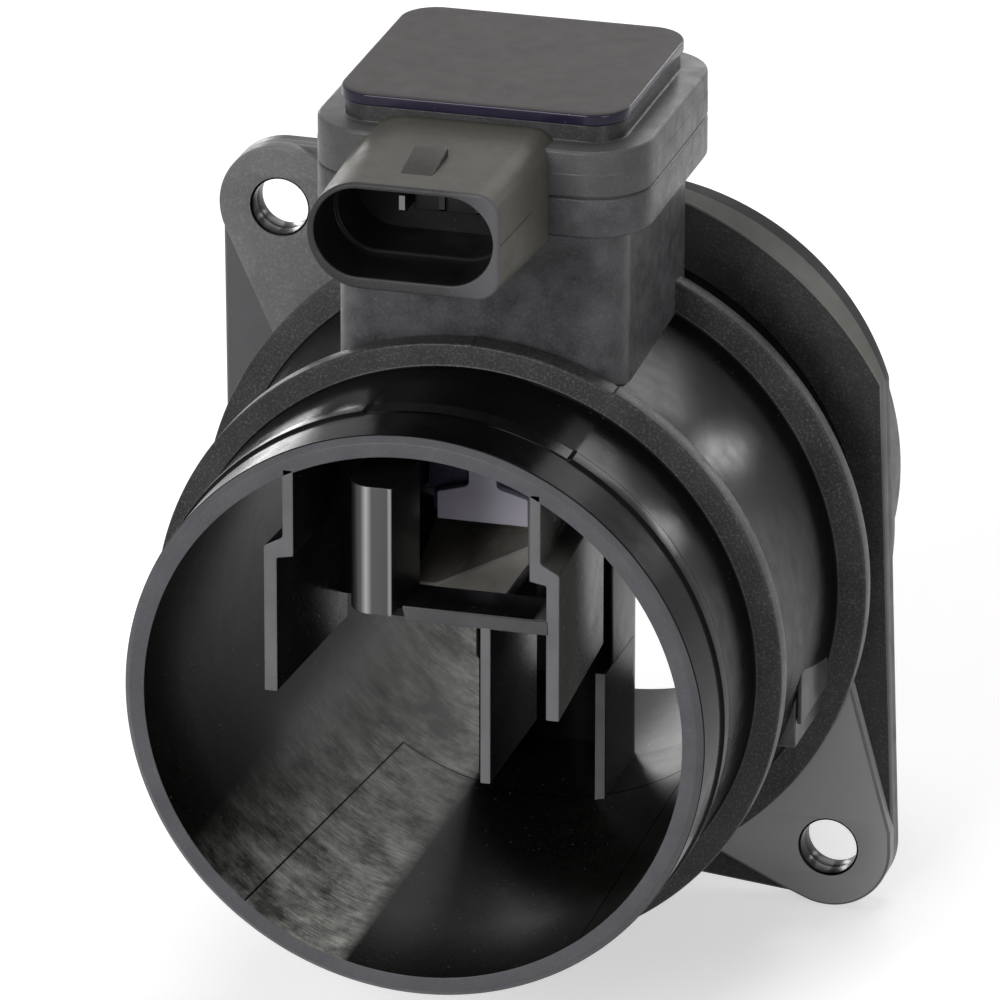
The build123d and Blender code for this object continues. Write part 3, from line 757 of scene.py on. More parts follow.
@dataclass(frozen=True)
class PlainFinish:
    """A metal, rubber, ceramic or clear finish with light variation of tone and roughness."""

    name: str
    colour: Colour
    roughness: float = 0.4
    metallic: float = 0.0
    transmission: float = 0.0
    grain_mm: float = 0.5
    grain: float = 0.1

    def build(self) -> bpy.types.Material:
        """Makes the material.

        Returns:
            The material.
        """
        graph = NodeGraph(self.name)
        cloud = graph.noise(self.grain_mm * 6, 3.0)
        darker = tuple(0.8 * c for c in self.colour)
        graph.link(graph.blend(cloud, darker, self.colour), graph.shader.inputs["Base Color"])
        graph.link(graph.ramp(cloud, 0.3, 0.7, self.roughness * 0.85, min(1.0, self.roughness * 1.15)),
                   graph.shader.inputs["Roughness"])
        graph.shader.inputs["Metallic"].default_value = self.metallic
        graph.shader.inputs["Transmission Weight"].default_value = self.transmission
        graph.link(graph.bump(graph.noise(self.grain_mm, 2.0), self.grain, 0.05),
                   graph.shader.inputs["Normal"])
        return graph.material


FINISHES = {finish.name: finish for finish in (
    MouldedPlastic("tube_rim", (0.066, 0.064, 0.072), (0.086, 0.084, 0.092), 0.45, 0.08, salt=0.2),
    MouldedPlastic("tube_neck", (0.002, 0.002, 0.0025), (0.004, 0.004, 0.0045), 0.2, 0.05,
                   streaks=0.10, streak_way=(0.25, 0.25, 0.05), specular=0.06),
    MouldedPlastic("tube_band", (0.016, 0.016, 0.017), (0.034, 0.034, 0.033), 0.40, 0.05, grain=0.3,
                   salt=0.5),
    # tube_bore: pale scratches on the lower left carry a painted reflection
    ScuffedBorePaintedReflection("tube_bore", (0.002, 0.002, 0.0018), (0.004, 0.004, 0.0035), 0.34, 0.02, grain=0.10,
                salt=0.12, specks=1.0, specular=0.03),
    MouldedPlastic("tube_rear", (0.045, 0.045, 0.046), (0.065, 0.065, 0.066), 0.42),
    # flange_face: painted light at the left and painted shade at the right, where the collar's shadow falls
    PaintedLightBandPlastic("flange_face", (0.012, 0.012, 0.013), (0.026, 0.026, 0.028), 0.42, 0.1,
                  grain=0.35, salt=0.3, painted_light_tone=(0.12, 0.119, 0.125),
                  stops=((-30.0, 0.7), (10.0, 0.35), (25.0, 0.0))),
    MouldedPlastic("flange_edge", (0.12, 0.12, 0.112), (0.17, 0.17, 0.16), 0.4, salt=0.5),
    # pad_face: painted light, paler towards the lower pad on the right
    PaintedLightBandPlastic("pad_face", (0.115, 0.115, 0.120), (0.155, 0.155, 0.160), 0.42, 0.1,
                  grain=0.35, salt=0.6, salt_colour=(0.26, 0.26, 0.25), painted_light_tone=(0.36, 0.36, 0.37),
                  stops=((-16.0, 0.0), (14.0, 1.0))),
    MouldedPlastic("tower_wall", (0.036, 0.035, 0.039), (0.088, 0.086, 0.093), 0.32, 0.06, cloud_mm=4.5,
                   grain=0.25, salt=0.35, streaks=0.2, streak_way=(1.0, 1.0, 0.06)),
    MouldedPlastic("channel_edge", (0.10, 0.098, 0.105), (0.135, 0.133, 0.14), 0.5, salt=0.1),
    MouldedPlastic("shelf_edge", (0.05, 0.049, 0.052), (0.07, 0.069, 0.072), 0.5, salt=0.1),
    # channel_wall: painted light on the right side wall's outer face, beyond X 17.4 mm
    PaintedLightBandPlastic("channel_wall", (0.004, 0.004, 0.004), (0.007, 0.007, 0.007), 0.26, 0.02,
                  salt=0.0, specks=0.4, painted_light_tone=(0.085, 0.085, 0.078), specular=0.1,
                  stops=((16.6, 0.0), (17.4, 1.0))),
    MouldedPlastic("frame_plastic", (0.060, 0.059, 0.062), (0.085, 0.084, 0.087), 0.38, 0.08,
                   grain=0.25, salt=0.3, streaks=0.1, streak_way=(1.0, 1.0, 0.06)),
    SeamedShell("shell_plastic", (0.064, 0.060, 0.050), (0.078, 0.073, 0.062), 0.45, 0.06,
                grain=0.2, salt=0.2),
    # shell_lip: painted light, paler towards the right
    PaintedLightBandPlastic("shell_lip", (0.020, 0.019, 0.021), (0.028, 0.027, 0.029), 0.45, salt=0.15,
                  painted_light_tone=(0.095, 0.092, 0.098), stops=((-12.0, 0.0), (2.0, 0.1), (9.0, 0.85))),
    # the latch wedge, darker than the shell: painted shade
    MouldedPlastic("latch_painted_shade", (0.020, 0.018, 0.014), (0.030, 0.027, 0.022), 0.45, 0.06,
                   grain=0.2, salt=0.2),
    # the socket's inside, darker than the shell: painted shade
    MouldedPlastic("socket_inside_painted_shade", (0.004, 0.004, 0.004), (0.007, 0.006, 0.007), 0.4),
    MouldedPlastic("lid_top", (0.062, 0.054, 0.055), (0.073, 0.064, 0.065), 0.55, 0.04, grain=0.10,
                   specks=0.5, specular=0.12),
    MouldedPlastic("lid_edge", (0.012, 0.009, 0.024), (0.018, 0.013, 0.034), 0.18, 0.05, grain=0.04),
    MouldedPlastic("carrier_plastic", (0.050, 0.042, 0.085), (0.075, 0.064, 0.12), 0.5,
                   grain=0.5, salt=0.3, salt_colour=(0.2, 0.18, 0.27)),
    MouldedPlastic("element_plastic", (0.80, 0.76, 0.90), (0.84, 0.80, 0.93), 0.45,
                   grain=0.05, specks=0.0),
    # the ramp's front face, pale: painted light
    MouldedPlastic("ramp_front_painted_light", (0.26, 0.25, 0.225), (0.34, 0.33, 0.30), 0.25, 0.05,
                   grain=0.08, specks=0.3),
    # the ramp's upper face, darker than its front: painted shade
    MouldedPlastic("ramp_top_painted_shade", (0.17, 0.155, 0.13), (0.25, 0.23, 0.20), 0.25, 0.05, grain=0.08),
    # the pale strip along the ramp's crest: painted highlight
    MouldedPlastic("crest_painted_highlight", (0.5, 0.49, 0.45), (0.6, 0.59, 0.55), 0.3),
    # the plateau's wall under the lid, darker than the frame: painted shade
    MouldedPlastic("plateau_wall_painted_shade", (0.020, 0.020, 0.021), (0.032, 0.032, 0.033), 0.36, 0.05,
                   grain=0.2, salt=0.25),
    # post_plastic: painted highlights on the divider's rounded nose and right edge, fading to black at its left
    PaintedLightBandPlastic("post_plastic", (0.004, 0.004, 0.004), (0.006, 0.006, 0.006), 0.24, 0.03,
                  streaks=0.08, streak_way=(1.0, 1.0, 0.1), painted_light_tone=(0.34, 0.338, 0.35),
                  stops=((-8.6, 0.0), (-7.0, 0.15), (-6.2, 1.0), (-5.4, 0.2), (-3.3, 0.17),
                         (-3.0, 0.7), (-2.72, 0.7), (-2.68, 0.0))),
    PlainFinish("seal_rubber", (0.02, 0.02, 0.02), 0.55),
    PlainFinish("adhesive", (0.006, 0.006, 0.006), 0.5),
    PlainFinish("silicon", (0.12, 0.13, 0.16), 0.15, 0.6),
    PlainFinish("plate_metal", (0.6, 0.6, 0.61), 0.35, 1.0),
    PlainFinish("board_ceramic", (0.8, 0.79, 0.75), 0.4),
    PlainFinish("chip_plastic", (0.03, 0.03, 0.032), 0.5),
    PlainFinish("capacitor_ceramic", (0.45, 0.33, 0.22), 0.4),
    PlainFinish("resistor_ceramic", (0.04, 0.04, 0.05), 0.3),
    PlainFinish("gel_silicone", (0.8, 0.82, 0.85), 0.1, 0.0, 0.9),
    PlainFinish("terminal_metal", (0.16, 0.155, 0.15), 0.35, 1.0),
    # the second and third blades, darker than the first: painted shade
    PlainFinish("blade_painted_shade", (0.03, 0.029, 0.028), 0.4, 1.0),
    PlainFinish("strip_metal", (0.7, 0.7, 0.71), 0.25, 1.0),
)}

SLOT_FINISH = {"tube_plastic": "tower_wall", "lid_plastic": "lid_top"}
# the deeper blades get a darker metal: painted shade
NODE_FINISH = {"terminal_2": "blade_painted_shade", "terminal_3": "blade_painted_shade"}
Materials = dict[str, bpy.types.Material]


@dataclass
class Tube:
    """The turned part of the tube: spigot, beads, collar ring, rear spigot and bore."""

    mouth_y: float = -77.1
    rear_y: float = 31.4
    bore_r: float = 37.1
    spigot_r: float = 40.0
    neck_r: float = 40.3
    bead_y: float = -51.1
    bead_r: float = 44.0
    bead_thick: float = 3.4
    grip_y: float = -67.9
    grip_width: float = 3.4
    grip_rise: float = 0.45
    grip_gap_deg: tuple[float, float] = (61.5, 103.5)
    ring_y: float = -17.5
    ring_r: float = 47.3
    ring_thick: float = 3.0
    body_r: tuple[float, float] = (41.8, 43.2)
    rear_r: float = 41.0
    shoulder_r: float = 45.1
    shoulder_y: tuple[float, float] = (4.6, 8.8)
    core_joint_y: float = 1.9
    around: int = 420
    bead_split_deg: float = 62.4
    bead_split_rise: float = 0.25
    tick_deg: float = 89.2
    tick_rise: float = 0.22

    def profile(self) -> list[tuple[float, float, float]]:
        """Radius, Y and corner radius, from the mouth along the outside and back through the bore.

        Returns:
            The profile's corners, closed.
        """
        grip_end = self.grip_y + self.grip_width
        bead_end = self.bead_y + self.bead_thick
        ring_end = self.ring_y + self.ring_thick
        return [
            (self.bore_r, self.mouth_y, 0.15), (self.spigot_r - 0.9, self.mouth_y, 0.3),
            (self.spigot_r, self.mouth_y + 0.9, 0.4), (self.spigot_r, self.grip_y, 0.2),
            (self.spigot_r + self.grip_rise, self.grip_y + 0.45, 0.2),
            (self.spigot_r + self.grip_rise, grip_end - 0.45, 0.2), (self.neck_r, grip_end, 0.2),
            (self.neck_r, grip_end + 0.8, 0.1),
            (self.neck_r, self.bead_y, 0.5), (self.bead_r, self.bead_y, 0.35),
            (self.bead_r, bead_end, 0.35), (self.body_r[0], bead_end, 0.7),
            (self.body_r[1], self.ring_y, 0.5), (self.ring_r, self.ring_y, 0.35),
            (self.ring_r, ring_end, 0.35), (self.body_r[1], ring_end, 0.7),
            (self.body_r[1], -2.0, 0.1), (self.rear_r, -2.0, 0.1),
            (self.rear_r, self.shoulder_y[0], 0.2), (self.shoulder_r, self.shoulder_y[0], 0.3),
            (self.shoulder_r, self.shoulder_y[1], 0.5), (self.rear_r, self.shoulder_y[1], 0.4),
            (self.rear_r - 0.3, self.rear_y - 1.6, 0.4), (self.rear_r - 1.2, self.rear_y, 0.3),
            (self.bore_r + 1.7, self.rear_y, 0.2), (self.bore_r + 1.1, self.rear_y - 0.6, 0.2),
            (self.bore_r, self.core_joint_y, 0.5), (self.bore_r, -30.0, 0.1), (self.bore_r, -60.0, 0.1),
        ]

    def looks(self, rows: Array) -> Array:
        """Chooses each row's material: rim face, neck, textured bands, bore or rear.

        Args:
            rows: Radius and Y halfway along each row.

        Returns:
            The material's number of each row.
        """
        radius, y = rows[:, 0], rows[:, 1]
        band = ((y > self.bead_y - 0.05) & (y < self.bead_y + self.bead_thick + 0.05)
                | (y > self.ring_y - 0.05) & (y < self.ring_y + self.ring_thick + 0.05))
        return np.select(
            [radius < self.bore_r + 0.02, (y < self.mouth_y + 0.75) & (radius < self.spigot_r - 0.2),
             (y > self.rear_y - 1.2) | (radius < self.spigot_r - 1.5), y > -1.0, band],
            [3, 0, 3, 4, 2], 1)

    def relief(self, rows: Array, angle: Array) -> Array:
        """How far each point moves out: the grip bead's gap, and the hose bead's raised right half.

        Args:
            rows: Radius and Y of each row.
            angle: The angle of each column.

        Returns:
            The move of each row and column, never above 0.
        """
        y = rows[:, 1:2]
        degrees = np.degrees(angle)[None, :]
        first, last = self.grip_gap_deg
        in_gap = np.clip((degrees - first) / 0.8, 0, 1) * np.clip((last - degrees) / 0.8, 0, 1)
        in_grip = ((y > self.grip_y - 0.1) & (y < self.grip_y + self.grip_width + 0.3)
                   & (rows[:, :1] > self.spigot_r))
        flat = self.spigot_r + 0.15 - rows[:, :1]
        right_half = np.clip((self.bead_split_deg - degrees) / 0.3, 0, 1) * (degrees > -60)
        in_bead = ((y > self.bead_y - 0.2) & (y < self.bead_y + self.bead_thick + 0.2)
                   & (rows[:, :1] > self.bead_r - 0.6))
        tick = np.clip(1 - np.abs(degrees - self.tick_deg) / 0.5, 0, 1) * self.tick_rise
        raised = in_bead * (tick - (1 - right_half) * self.bead_split_rise)
        return in_grip * in_gap * np.minimum(flat, 0) + np.minimum(raised, 0.0)

    def build(self, materials: Materials) -> None:
        """Turns the profile about the bore axis.

        Args:
            materials: The finished materials by name.
        """
        table = np.array(self.profile(), dtype=float)
        at = table[:, :2]
        arcs, _ = corner_arcs(np.roll(at, 1, axis=0), at, np.roll(at, -1, axis=0), table[:, 2], 4)
        rows = arcs.reshape(-1, 2)
        even = np.linspace(-math.pi, math.pi, self.around, endpoint=False)
        marks = np.radians([self.grip_gap_deg[0], self.grip_gap_deg[1], self.bead_split_deg, self.tick_deg])
        extra = (marks[:, None] + np.radians([-0.9, -0.45, -0.1, 0.1, 0.45, 0.9])).ravel()
        angle = np.unique(np.concatenate([even, extra]))
        radius = rows[:, :1] + self.relief(rows, angle)
        net = np.stack([radius * np.cos(angle), np.broadcast_to(rows[:, 1:2], radius.shape),
                        radius * np.sin(angle)], axis=-1)
        middle = (rows + np.roll(rows, -1, axis=0)) / 2
        skin = Skin("tube")
        skin.grid(net, close_rows=True, look=self.looks(middle))
        names = ("tube_rim", "tube_neck", "tube_band", "tube_bore", "tube_rear")
        skin.build([materials[name] for name in names], "tube_plastic", ("flow_tube",))


@dataclass
class Flange:
    """The flange: hull of a half disc, two lobes and the rim, two raised pads and two bolt holes."""

    disc_r: float = 48.0
    thick: float = 5.35
    web: float = 3.2
    rim_front: tuple = ((9.7, 51.5), (31.4, 41.65), (45.7, 25.2))
    rim_rear: tuple = ((9.7, 51.7), (34.5, 42.7), (46.0, 25.4))
    crease_share: float = 0.72
    crease_y: float = -1.9
    bolt: tuple[float, float] = (39.55, 43.4)
    hole_r: float = 4.0
    lobe_r: float = 8.8
    clear_r: float = 41.5
    edge: float = 0.35
    hole_edge: float = 0.3
    pad_sink: float = 0.6
    corner_steps_deg: tuple[float, ...] = (-0.6, -0.2, 0.0, 0.2, 0.6)
    around: int = 540
    upper_pad: tuple = ((-47.9, 40.5), (-38.9, 20.6), (-20.0, 20.0), (-16.0, 42.3), (-34.2, 50.7), (-39.5, 52.0))
    lower_pad: tuple = ((48.3, -40.5), (41.3, -14.8), (20.0, -10.0), (14.0, -41.3), (33.7, -50.5), (39.5, -52.0))

    @staticmethod
    def arc(ends: tuple, steps: int = 60) -> Array:
        """Points on the circle through three points, from the first to the last.

        Args:
            ends: The three points.
            steps: The number of points.

        Returns:
            The points.
        """
        (ax, ay), (bx, by), (cx, cy) = ends
        twice = 2 * (ax * (by - cy) + bx * (cy - ay) + cx * (ay - by))
        a2, b2, c2 = ax * ax + ay * ay, bx * bx + by * by, cx * cx + cy * cy
        centre = np.array([(a2 * (by - cy) + b2 * (cy - ay) + c2 * (ay - by)) / twice,
                           (a2 * (cx - bx) + b2 * (ax - cx) + c2 * (bx - ax)) / twice])
        radius = math.hypot(ax - centre[0], ay - centre[1])
        first = math.atan2(ay - centre[1], ax - centre[0])
        last = math.atan2(cy - centre[1], cx - centre[0])
        angle = np.linspace(first, last, steps)
        return centre + radius * np.stack([np.cos(angle), np.sin(angle)], axis=1)

    @staticmethod
    def hull(points: Array, spacing: float = 0.5) -> Array:
        """The convex hull's outline with points at an even spacing along its straight stretches.

        Args:
            points: The points to wrap.
            spacing: The greatest step between the hull's points.

        Returns:
            The hull's points, anticlockwise.
        """
        order = convex_hull_2d([Vector(p) for p in points])
        corners = points[np.array(order)]
        if np.cross(corners, np.roll(corners, -1, axis=0)).sum() < 0:
            corners = corners[::-1]
        ahead = np.roll(corners, -1, axis=0) - corners
        steps = np.maximum(1, np.ceil(np.linalg.norm(ahead, axis=1) / spacing)).astype(int)
        index = np.repeat(np.arange(len(corners)), steps)
        share = np.concatenate([np.arange(n) / n for n in steps])
        return corners[index] + ahead[index] * share[:, None]

    def lobe(self, sign: int) -> Array:
        """The disc round one bolt."""
        return Outline.circle((sign * self.bolt[0], -sign * self.bolt[1]), self.lobe_r, 120).points

    def outline(self, rim: tuple, angles: Array) -> Array:
        """The web's outline seen from the bore axis: radius interpolated at the wanted angles.

        Args:
            rim: Three points on the rim's arc.
            angles: The wanted angles.

        Returns:
            One point for each angle.
        """
        left = np.radians(np.linspace(90, 270, 160))
        disc = self.disc_r * np.stack([np.cos(left), np.sin(left)], axis=1)
        dense = self.hull(np.vstack([disc, self.lobe(-1), self.lobe(1), self.arc(rim)]), 0.3)
        turn = np.arctan2(dense[:, 1], dense[:, 0])
        radius = np.interp(angles, np.sort(turn), np.hypot(dense[:, 0], dense[:, 1])[np.argsort(turn)],
                           period=2 * math.pi)
        return radius[:, None] * np.stack([np.cos(angles), np.sin(angles)], axis=1)

    def holes(self) -> tuple[Outline, ...]:
        """The two bolt holes."""
        return tuple(Outline.circle((s * self.bolt[0], -s * self.bolt[1]), self.hole_r, 64) for s in (-1, 1))

    def web_skin(self, materials: Materials) -> None:
        """The web with its sloping rim: loops interpolated between the front and the rear outline.

        Args:
            materials: The finished materials by name.
        """
        corner = math.atan2(self.rim_front[2][1], self.rim_front[2][0])
        angles = np.unique(np.concatenate([np.linspace(-math.pi, math.pi, self.around, endpoint=False),
                                           corner + np.radians(self.corner_steps_deg)]))
        front = Outline.through(self.outline(self.rim_front, angles))
        rear = Outline.through(self.outline(self.rim_rear, angles))
        wide = front.points + self.crease_share * (rear.points - front.points)
        soft, soft_rear = self.edge, self.hole_edge
        loops = [(front.moved_out(-soft), -self.web), (front.moved_out(-soft * 0.3), -self.web + soft * 0.3),
                 (front.points, -self.web + soft), (wide, self.crease_y), (rear.points, -soft_rear),
                 (rear.moved_out(-soft_rear), 0.0)]
        skin = Skin("flange_web")
        skin.grid(np.stack([Along.Y.place(points, y) for points, y in loops]), look=np.array([1, 1, 1, 2, 2]))
        bore = Outline.circle((0, 0), self.clear_r, 200)
        for points, y in (loops[0], loops[-1]):
            rings = [Along.Y.place(ring.moved_out(self.hole_edge), y) for ring in self.holes()]
            skin.cap([Along.Y.place(points, y), Along.Y.place(bore.points, y), *rings])
        for hole in self.holes():
            rows = edge_rows(-self.web, 0.0, self.hole_edge)
            skin.grid(np.stack([Along.Y.place(hole.moved_out(-o), y) for o, y in rows]), look=3)
        skin.grid(np.stack([Along.Y.place(bore.points, y) for y in (-self.web, 0.0)]), look=3)
        looks = [materials[n] for n in ("flange_face", "flange_edge", "tube_rear", "tube_neck")]
        skin.build(looks, "tube_plastic", ("flow_tube",))

    def pad_skin(self, materials: Materials) -> None:
        """The raised pads: hulls of a few corners and the lobe, pushed out of the bore and sunk in the web.

        Args:
            materials: The finished materials by name.
        """
        skin = Skin("flange_pads")
        foot = -self.web + self.pad_sink
        for sign, pad, hole in zip((-1, 1), (self.upper_pad, self.lower_pad), self.holes()):
            points = self.hull(np.vstack([np.array(pad), self.lobe(sign)]), 0.6)
            reach = np.hypot(points[:, 0], points[:, 1])
            outline = Outline.through(points * np.maximum(1.0, self.clear_r / reach)[:, None])
            rows = edge_rows(-self.thick, foot, self.edge)[:-3]
            looks = np.array([1] * 3 + [0] * (len(rows) - 4))
            skin.grid(np.stack([Along.Y.place(outline.moved_out(o), y) for o, y in rows]), look=looks)
            skin.cap([Along.Y.place(outline.moved_out(rows[0, 0]), rows[0, 1]),
                      Along.Y.place(hole.moved_out(self.hole_edge), rows[0, 1])])
            wall = edge_rows(-self.thick, foot, self.hole_edge)[:-3]
            skin.grid(np.stack([Along.Y.place(hole.moved_out(-o), y) for o, y in wall]), look=2)
        looks = [materials[n] for n in ("pad_face", "flange_edge", "tube_neck")]
        skin.build(looks, "tube_plastic", ("flow_tube",))

    def build(self, materials: Materials) -> None:
        """Makes the web, then the pads."""
        self.web_skin(materials)
        self.pad_skin(materials)


@dataclass
class Tower:
    """The rectangular tower with its wider rim."""

    box: tuple[float, float, float, float] = (-20.15, 20.15, -46.1, -8.0)
    corner: float = 5.5
    wall: float = 2.3
    step: float = 3.0
    base_z: float = 30.0
    shoulder_z: float = 59.5
    top_z: float = 65.1

    def build(self, materials: Materials) -> None:
        """Carries the wall's profile round the plan.

        Args:
            materials: The finished materials by name.
        """
        rows = soft_line([(0, self.base_z, 0), (0, self.shoulder_z, 0.5), (self.step, self.shoulder_z, 0.5),
                          (self.step, self.top_z, 0.35), (-self.wall, self.top_z, 0.2), (-self.wall, 45.0, 0)])
        skin = Skin("tower")
        skin.carry(Outline.rectangle(self.box, self.corner, 14), rows, Along.Z, caps=False)
        skin.build([materials["tower_wall"]], "tube_plastic", ("flow_tube",))


@dataclass
class FlankRibs:
    """The two short ribs on the tube's right flank."""

    wide: tuple = ((38.4, -32.1, -17.5), (41.3, -14.6, -6.5))
    thin: tuple = ((41.5, -32.1, -13.9), (42.1, -14.6, -6.5))

    def build(self, materials: Materials) -> None:
        """Makes both ribs with soft edges.

        Args:
            materials: The finished materials by name.
        """
        skin = Skin("flank_ribs")
        skin.box(*self.wide, soft=0.25)
        skin.box(*self.thin, soft=0.12)
        skin.build([materials["tower_wall"]], "tube_plastic", ("flow_tube",))


def front_looks(rows: Array, front: int) -> Array:
    """One look for the rounded front edge's two rows and 0 for the rest."""
    return np.array([front] * 2 + [0] * (len(rows) - 3))


@dataclass
class Channel:
    """The bypass channel in the bore: side walls, divider, shelf, keel, duct, column and ramp."""

    mouth_y: float = -77.1
    side_x: float = 20.3
    side_t: float = 1.8
    upper_x: float = 17.7
    upper_t: float = 1.5
    side_bottom: float = 2.0
    side_step: float = 22.3
    side_depth: float = 28.0
    side_lean: float = 1.5
    keel_depth: float = 23.2
    post_x: tuple[float, float] = (-9.1, -2.7)
    post_nose: float = 3.5
    post_draft: float = 0.6
    post_depth: float = 11.8
    post_z: tuple[float, float] = (14.45, 32.6)
    shelf_z: tuple[float, float] = (14.1, 16.2)
    shelf_x: float = -1.3
    shelf_depth: float = 8.0
    keel_x: float = 10.2
    keel_t: float = 1.4
    keel_z: float = -8.0
    duct_x: float = 9.8
    duct_wall: float = 1.1
    duct_z: float = 5.5
    duct_floor: float = 1.2
    right_wall_y: float = -50.9
    roof_z: float = 38.4
    nose_y: float = 0.2
    leg_front: tuple[float, float] = (-9.3, -14.4)
    leg_wall: float = 1.5
    upper_front: float = -14.8
    upper_z: float = -17.5
    upper_corner: float = 4.6
    floor_r: float = 38.2
    inlet_z: tuple[float, float] = (12.0, 30.0)
    inlet_x: float = 4.0
    ramp_y: tuple[float, float] = (-46.5, -31.1)
    ramp_start: float = -5.6
    ramp_slope: float = 0.528
    ramp_back: tuple[float, float] = (6.4, 11.3)
    crest: float = 0.6
    soft: float = 0.18

    def side_walls(self, skin: Skin) -> None:
        """Both thin walls with their outward step; the face towards the hose has its own look.

        Args:
            skin: The mesh that takes the new surfaces.
        """
        for sign in (-1, 1):
            top = math.sqrt(self.floor_r ** 2 - self.upper_x ** 2)
            inner, outer = self.upper_x - self.upper_t, self.side_x - self.side_t
            corners = [(self.side_x, self.side_bottom, 0.2), (self.side_x, self.side_step + 0.4, 0.6),
                       (self.upper_x, self.side_step + 1.8, 0.6), (self.upper_x, top, 0.2),
                       (inner, top, 0.2), (inner, self.side_step - 0.8, 0.3),
                       (outer, self.side_step - 1.2, 0.3), (outer, self.side_bottom, 0.2)]
            if sign < 0:
                corners = [(-x, z, r) for x, z, r in reversed(corners)]
            rows = edge_rows(self.mouth_y, self.mouth_y + self.side_depth, self.soft)
            # the right wall's outer face takes channel_wall's painted light
            skin.carry(Outline.rounded(corners, 5), rows, Along.Y, look=front_looks(rows, 1),
                       lean=(-sign * self.side_lean, 0.0))

    def post(self, skin: Skin) -> None:
        """The divider: sharp at the right, well rounded at the left.

        Args:
            skin: The mesh that takes the new surfaces.
        """
        left, right = self.post_x
        rear = self.mouth_y + self.post_depth
        plan = [(left, self.mouth_y, self.post_nose), (right, self.mouth_y, 0.2),
                (right + self.post_draft, rear, 0.3), (left, rear, 0.3)]
        rows = edge_rows(*self.post_z, 0.2)
        # the post's sides take post_plastic's painted highlights; its top takes the wall's look
        looks = np.array([2] * (len(rows) - 3) + [0, 0])
        skin.carry(Outline.rounded(plan, 14), rows, Along.Z, look=looks)
        rear_wall = self.mouth_y + self.keel_depth
        skin.box((left, rear - 1, self.post_z[0]), (left + self.duct_wall, rear_wall, self.post_z[1]), look=0)

    def shelf_and_keel(self, skin: Skin) -> None:
        """The right-hand chamber's floor, cut at a slant, and the plate under it.

        Args:
            skin: The mesh that takes the new surfaces.
        """
        outer = self.side_x - self.side_t + 0.4
        low, high = self.shelf_z
        section = [(self.shelf_x, high, 0.2), (self.shelf_x + 0.5, low, 0.5), (outer, low, 0.1),
                   (outer, high, 0.1)]
        rows = edge_rows(self.mouth_y, self.mouth_y + self.shelf_depth, self.soft)
        skin.carry(Outline.rounded(section, 5), rows, Along.Y, look=front_looks(rows, 4))
        half = self.keel_t / 2
        keel = Outline.rectangle((self.keel_x - half, self.keel_x + half, self.keel_z, low + 0.3), 0.2, 4)
        rows = edge_rows(self.mouth_y, self.mouth_y + self.keel_depth, self.soft)
        skin.carry(keel, rows, Along.Y, look=front_looks(rows, 1))

    def rear_walls(self, skin: Skin) -> None:
        """The plates that close the outlet box beside the duct.

        Args:
            skin: The mesh that takes the new surfaces.
        """
        inner = self.duct_x - self.duct_wall
        outer = self.side_x - self.side_lean - 0.5
        for sign in (-1, 1):
            y1 = self.mouth_y + self.side_depth
            x0, x1 = sorted((sign * outer, sign * inner))
            top = math.sqrt(self.floor_r ** 2 - outer ** 2)
            skin.box((x0, y1 - 1.5, self.side_bottom + 4), (x1, y1, top), 0.12)

    def plan(self, half_x: float, front: float, corner: float) -> Outline:
        """Straight sides, front corners and a half-round nose towards the air cleaner.

        Args:
            half_x: Half its width.
            front: Y of its front.
            corner: Radius of its front corners.

        Returns:
            The outline in X and Y.
        """
        corners = [(-half_x, front, corner), (half_x, front, corner),
                   (half_x, self.nose_y + half_x, half_x - 0.01), (-half_x, self.nose_y + half_x, half_x - 0.01)]
        return Outline.rounded(corners, 16)

    def duct(self, skin: Skin) -> None:
        """The duct's walls and floor, the closed upper column and the open lower column.

        Args:
            skin: The mesh that takes the new surfaces.
        """
        inner = self.duct_x - self.duct_wall
        front = self.mouth_y + self.keel_depth - 1.5
        for sign in (-1, 1):
            x0, x1 = sorted((sign * inner, sign * self.duct_x))
            top = math.sqrt(self.floor_r ** 2 - self.duct_x ** 2)
            section = Outline.rectangle((x0, x1, self.duct_z, top), 0.25, 4)
            start = front if sign < 0 else self.right_wall_y
            rows = edge_rows(start, self.nose_y, self.soft)
            skin.carry(section, rows, Along.Y, look=front_looks(rows, 1))
        skin.box((-self.duct_x, front, self.duct_z), (self.duct_x, self.nose_y, self.duct_z + self.duct_floor))
        angle = np.linspace(0, math.pi, 40)
        for low, high in ((self.duct_z, self.inlet_z[0]), (self.inlet_z[1], self.roof_z)):
            self.nose_shell(skin, angle, low, high)
        gate = math.acos(self.inlet_x / self.duct_x)
        for share in (np.linspace(0, gate, 16), np.linspace(math.pi - gate, math.pi, 16)):
            self.nose_shell(skin, share, self.inlet_z[0] - 0.05, self.inlet_z[1] + 0.05)
        skin.carry(self.plan(self.duct_x, self.upper_front, self.upper_corner),
                   edge_rows(self.upper_z, self.duct_z + 0.1, self.soft), Along.Z)
        self.lower_column(skin)

    def nose_shell(self, skin: Skin, angle: Array, low: float, high: float) -> None:
        """A stretch of the half-round nose wall between two heights.

        Args:
            skin: The mesh that takes the new surfaces.
            angle: The angles of its columns.
            low: Its lower height.
            high: Its upper height.
        """
        ring = np.stack([np.cos(angle), np.sin(angle)], axis=1)
        inner = (self.duct_x - self.duct_wall) * ring
        outer = self.duct_x * ring
        loops = [(outer, low), (outer, high), (inner, high), (inner, low)]
        net = np.stack([Along.Z.place(loop + [0, self.nose_y], z) for loop, z in loops])
        skin.grid(net, close_rows=True, close_around=False)
        ends = net[:, [0, -1]].transpose(1, 0, 2)
        for end in ends:
            skin.cap([end])

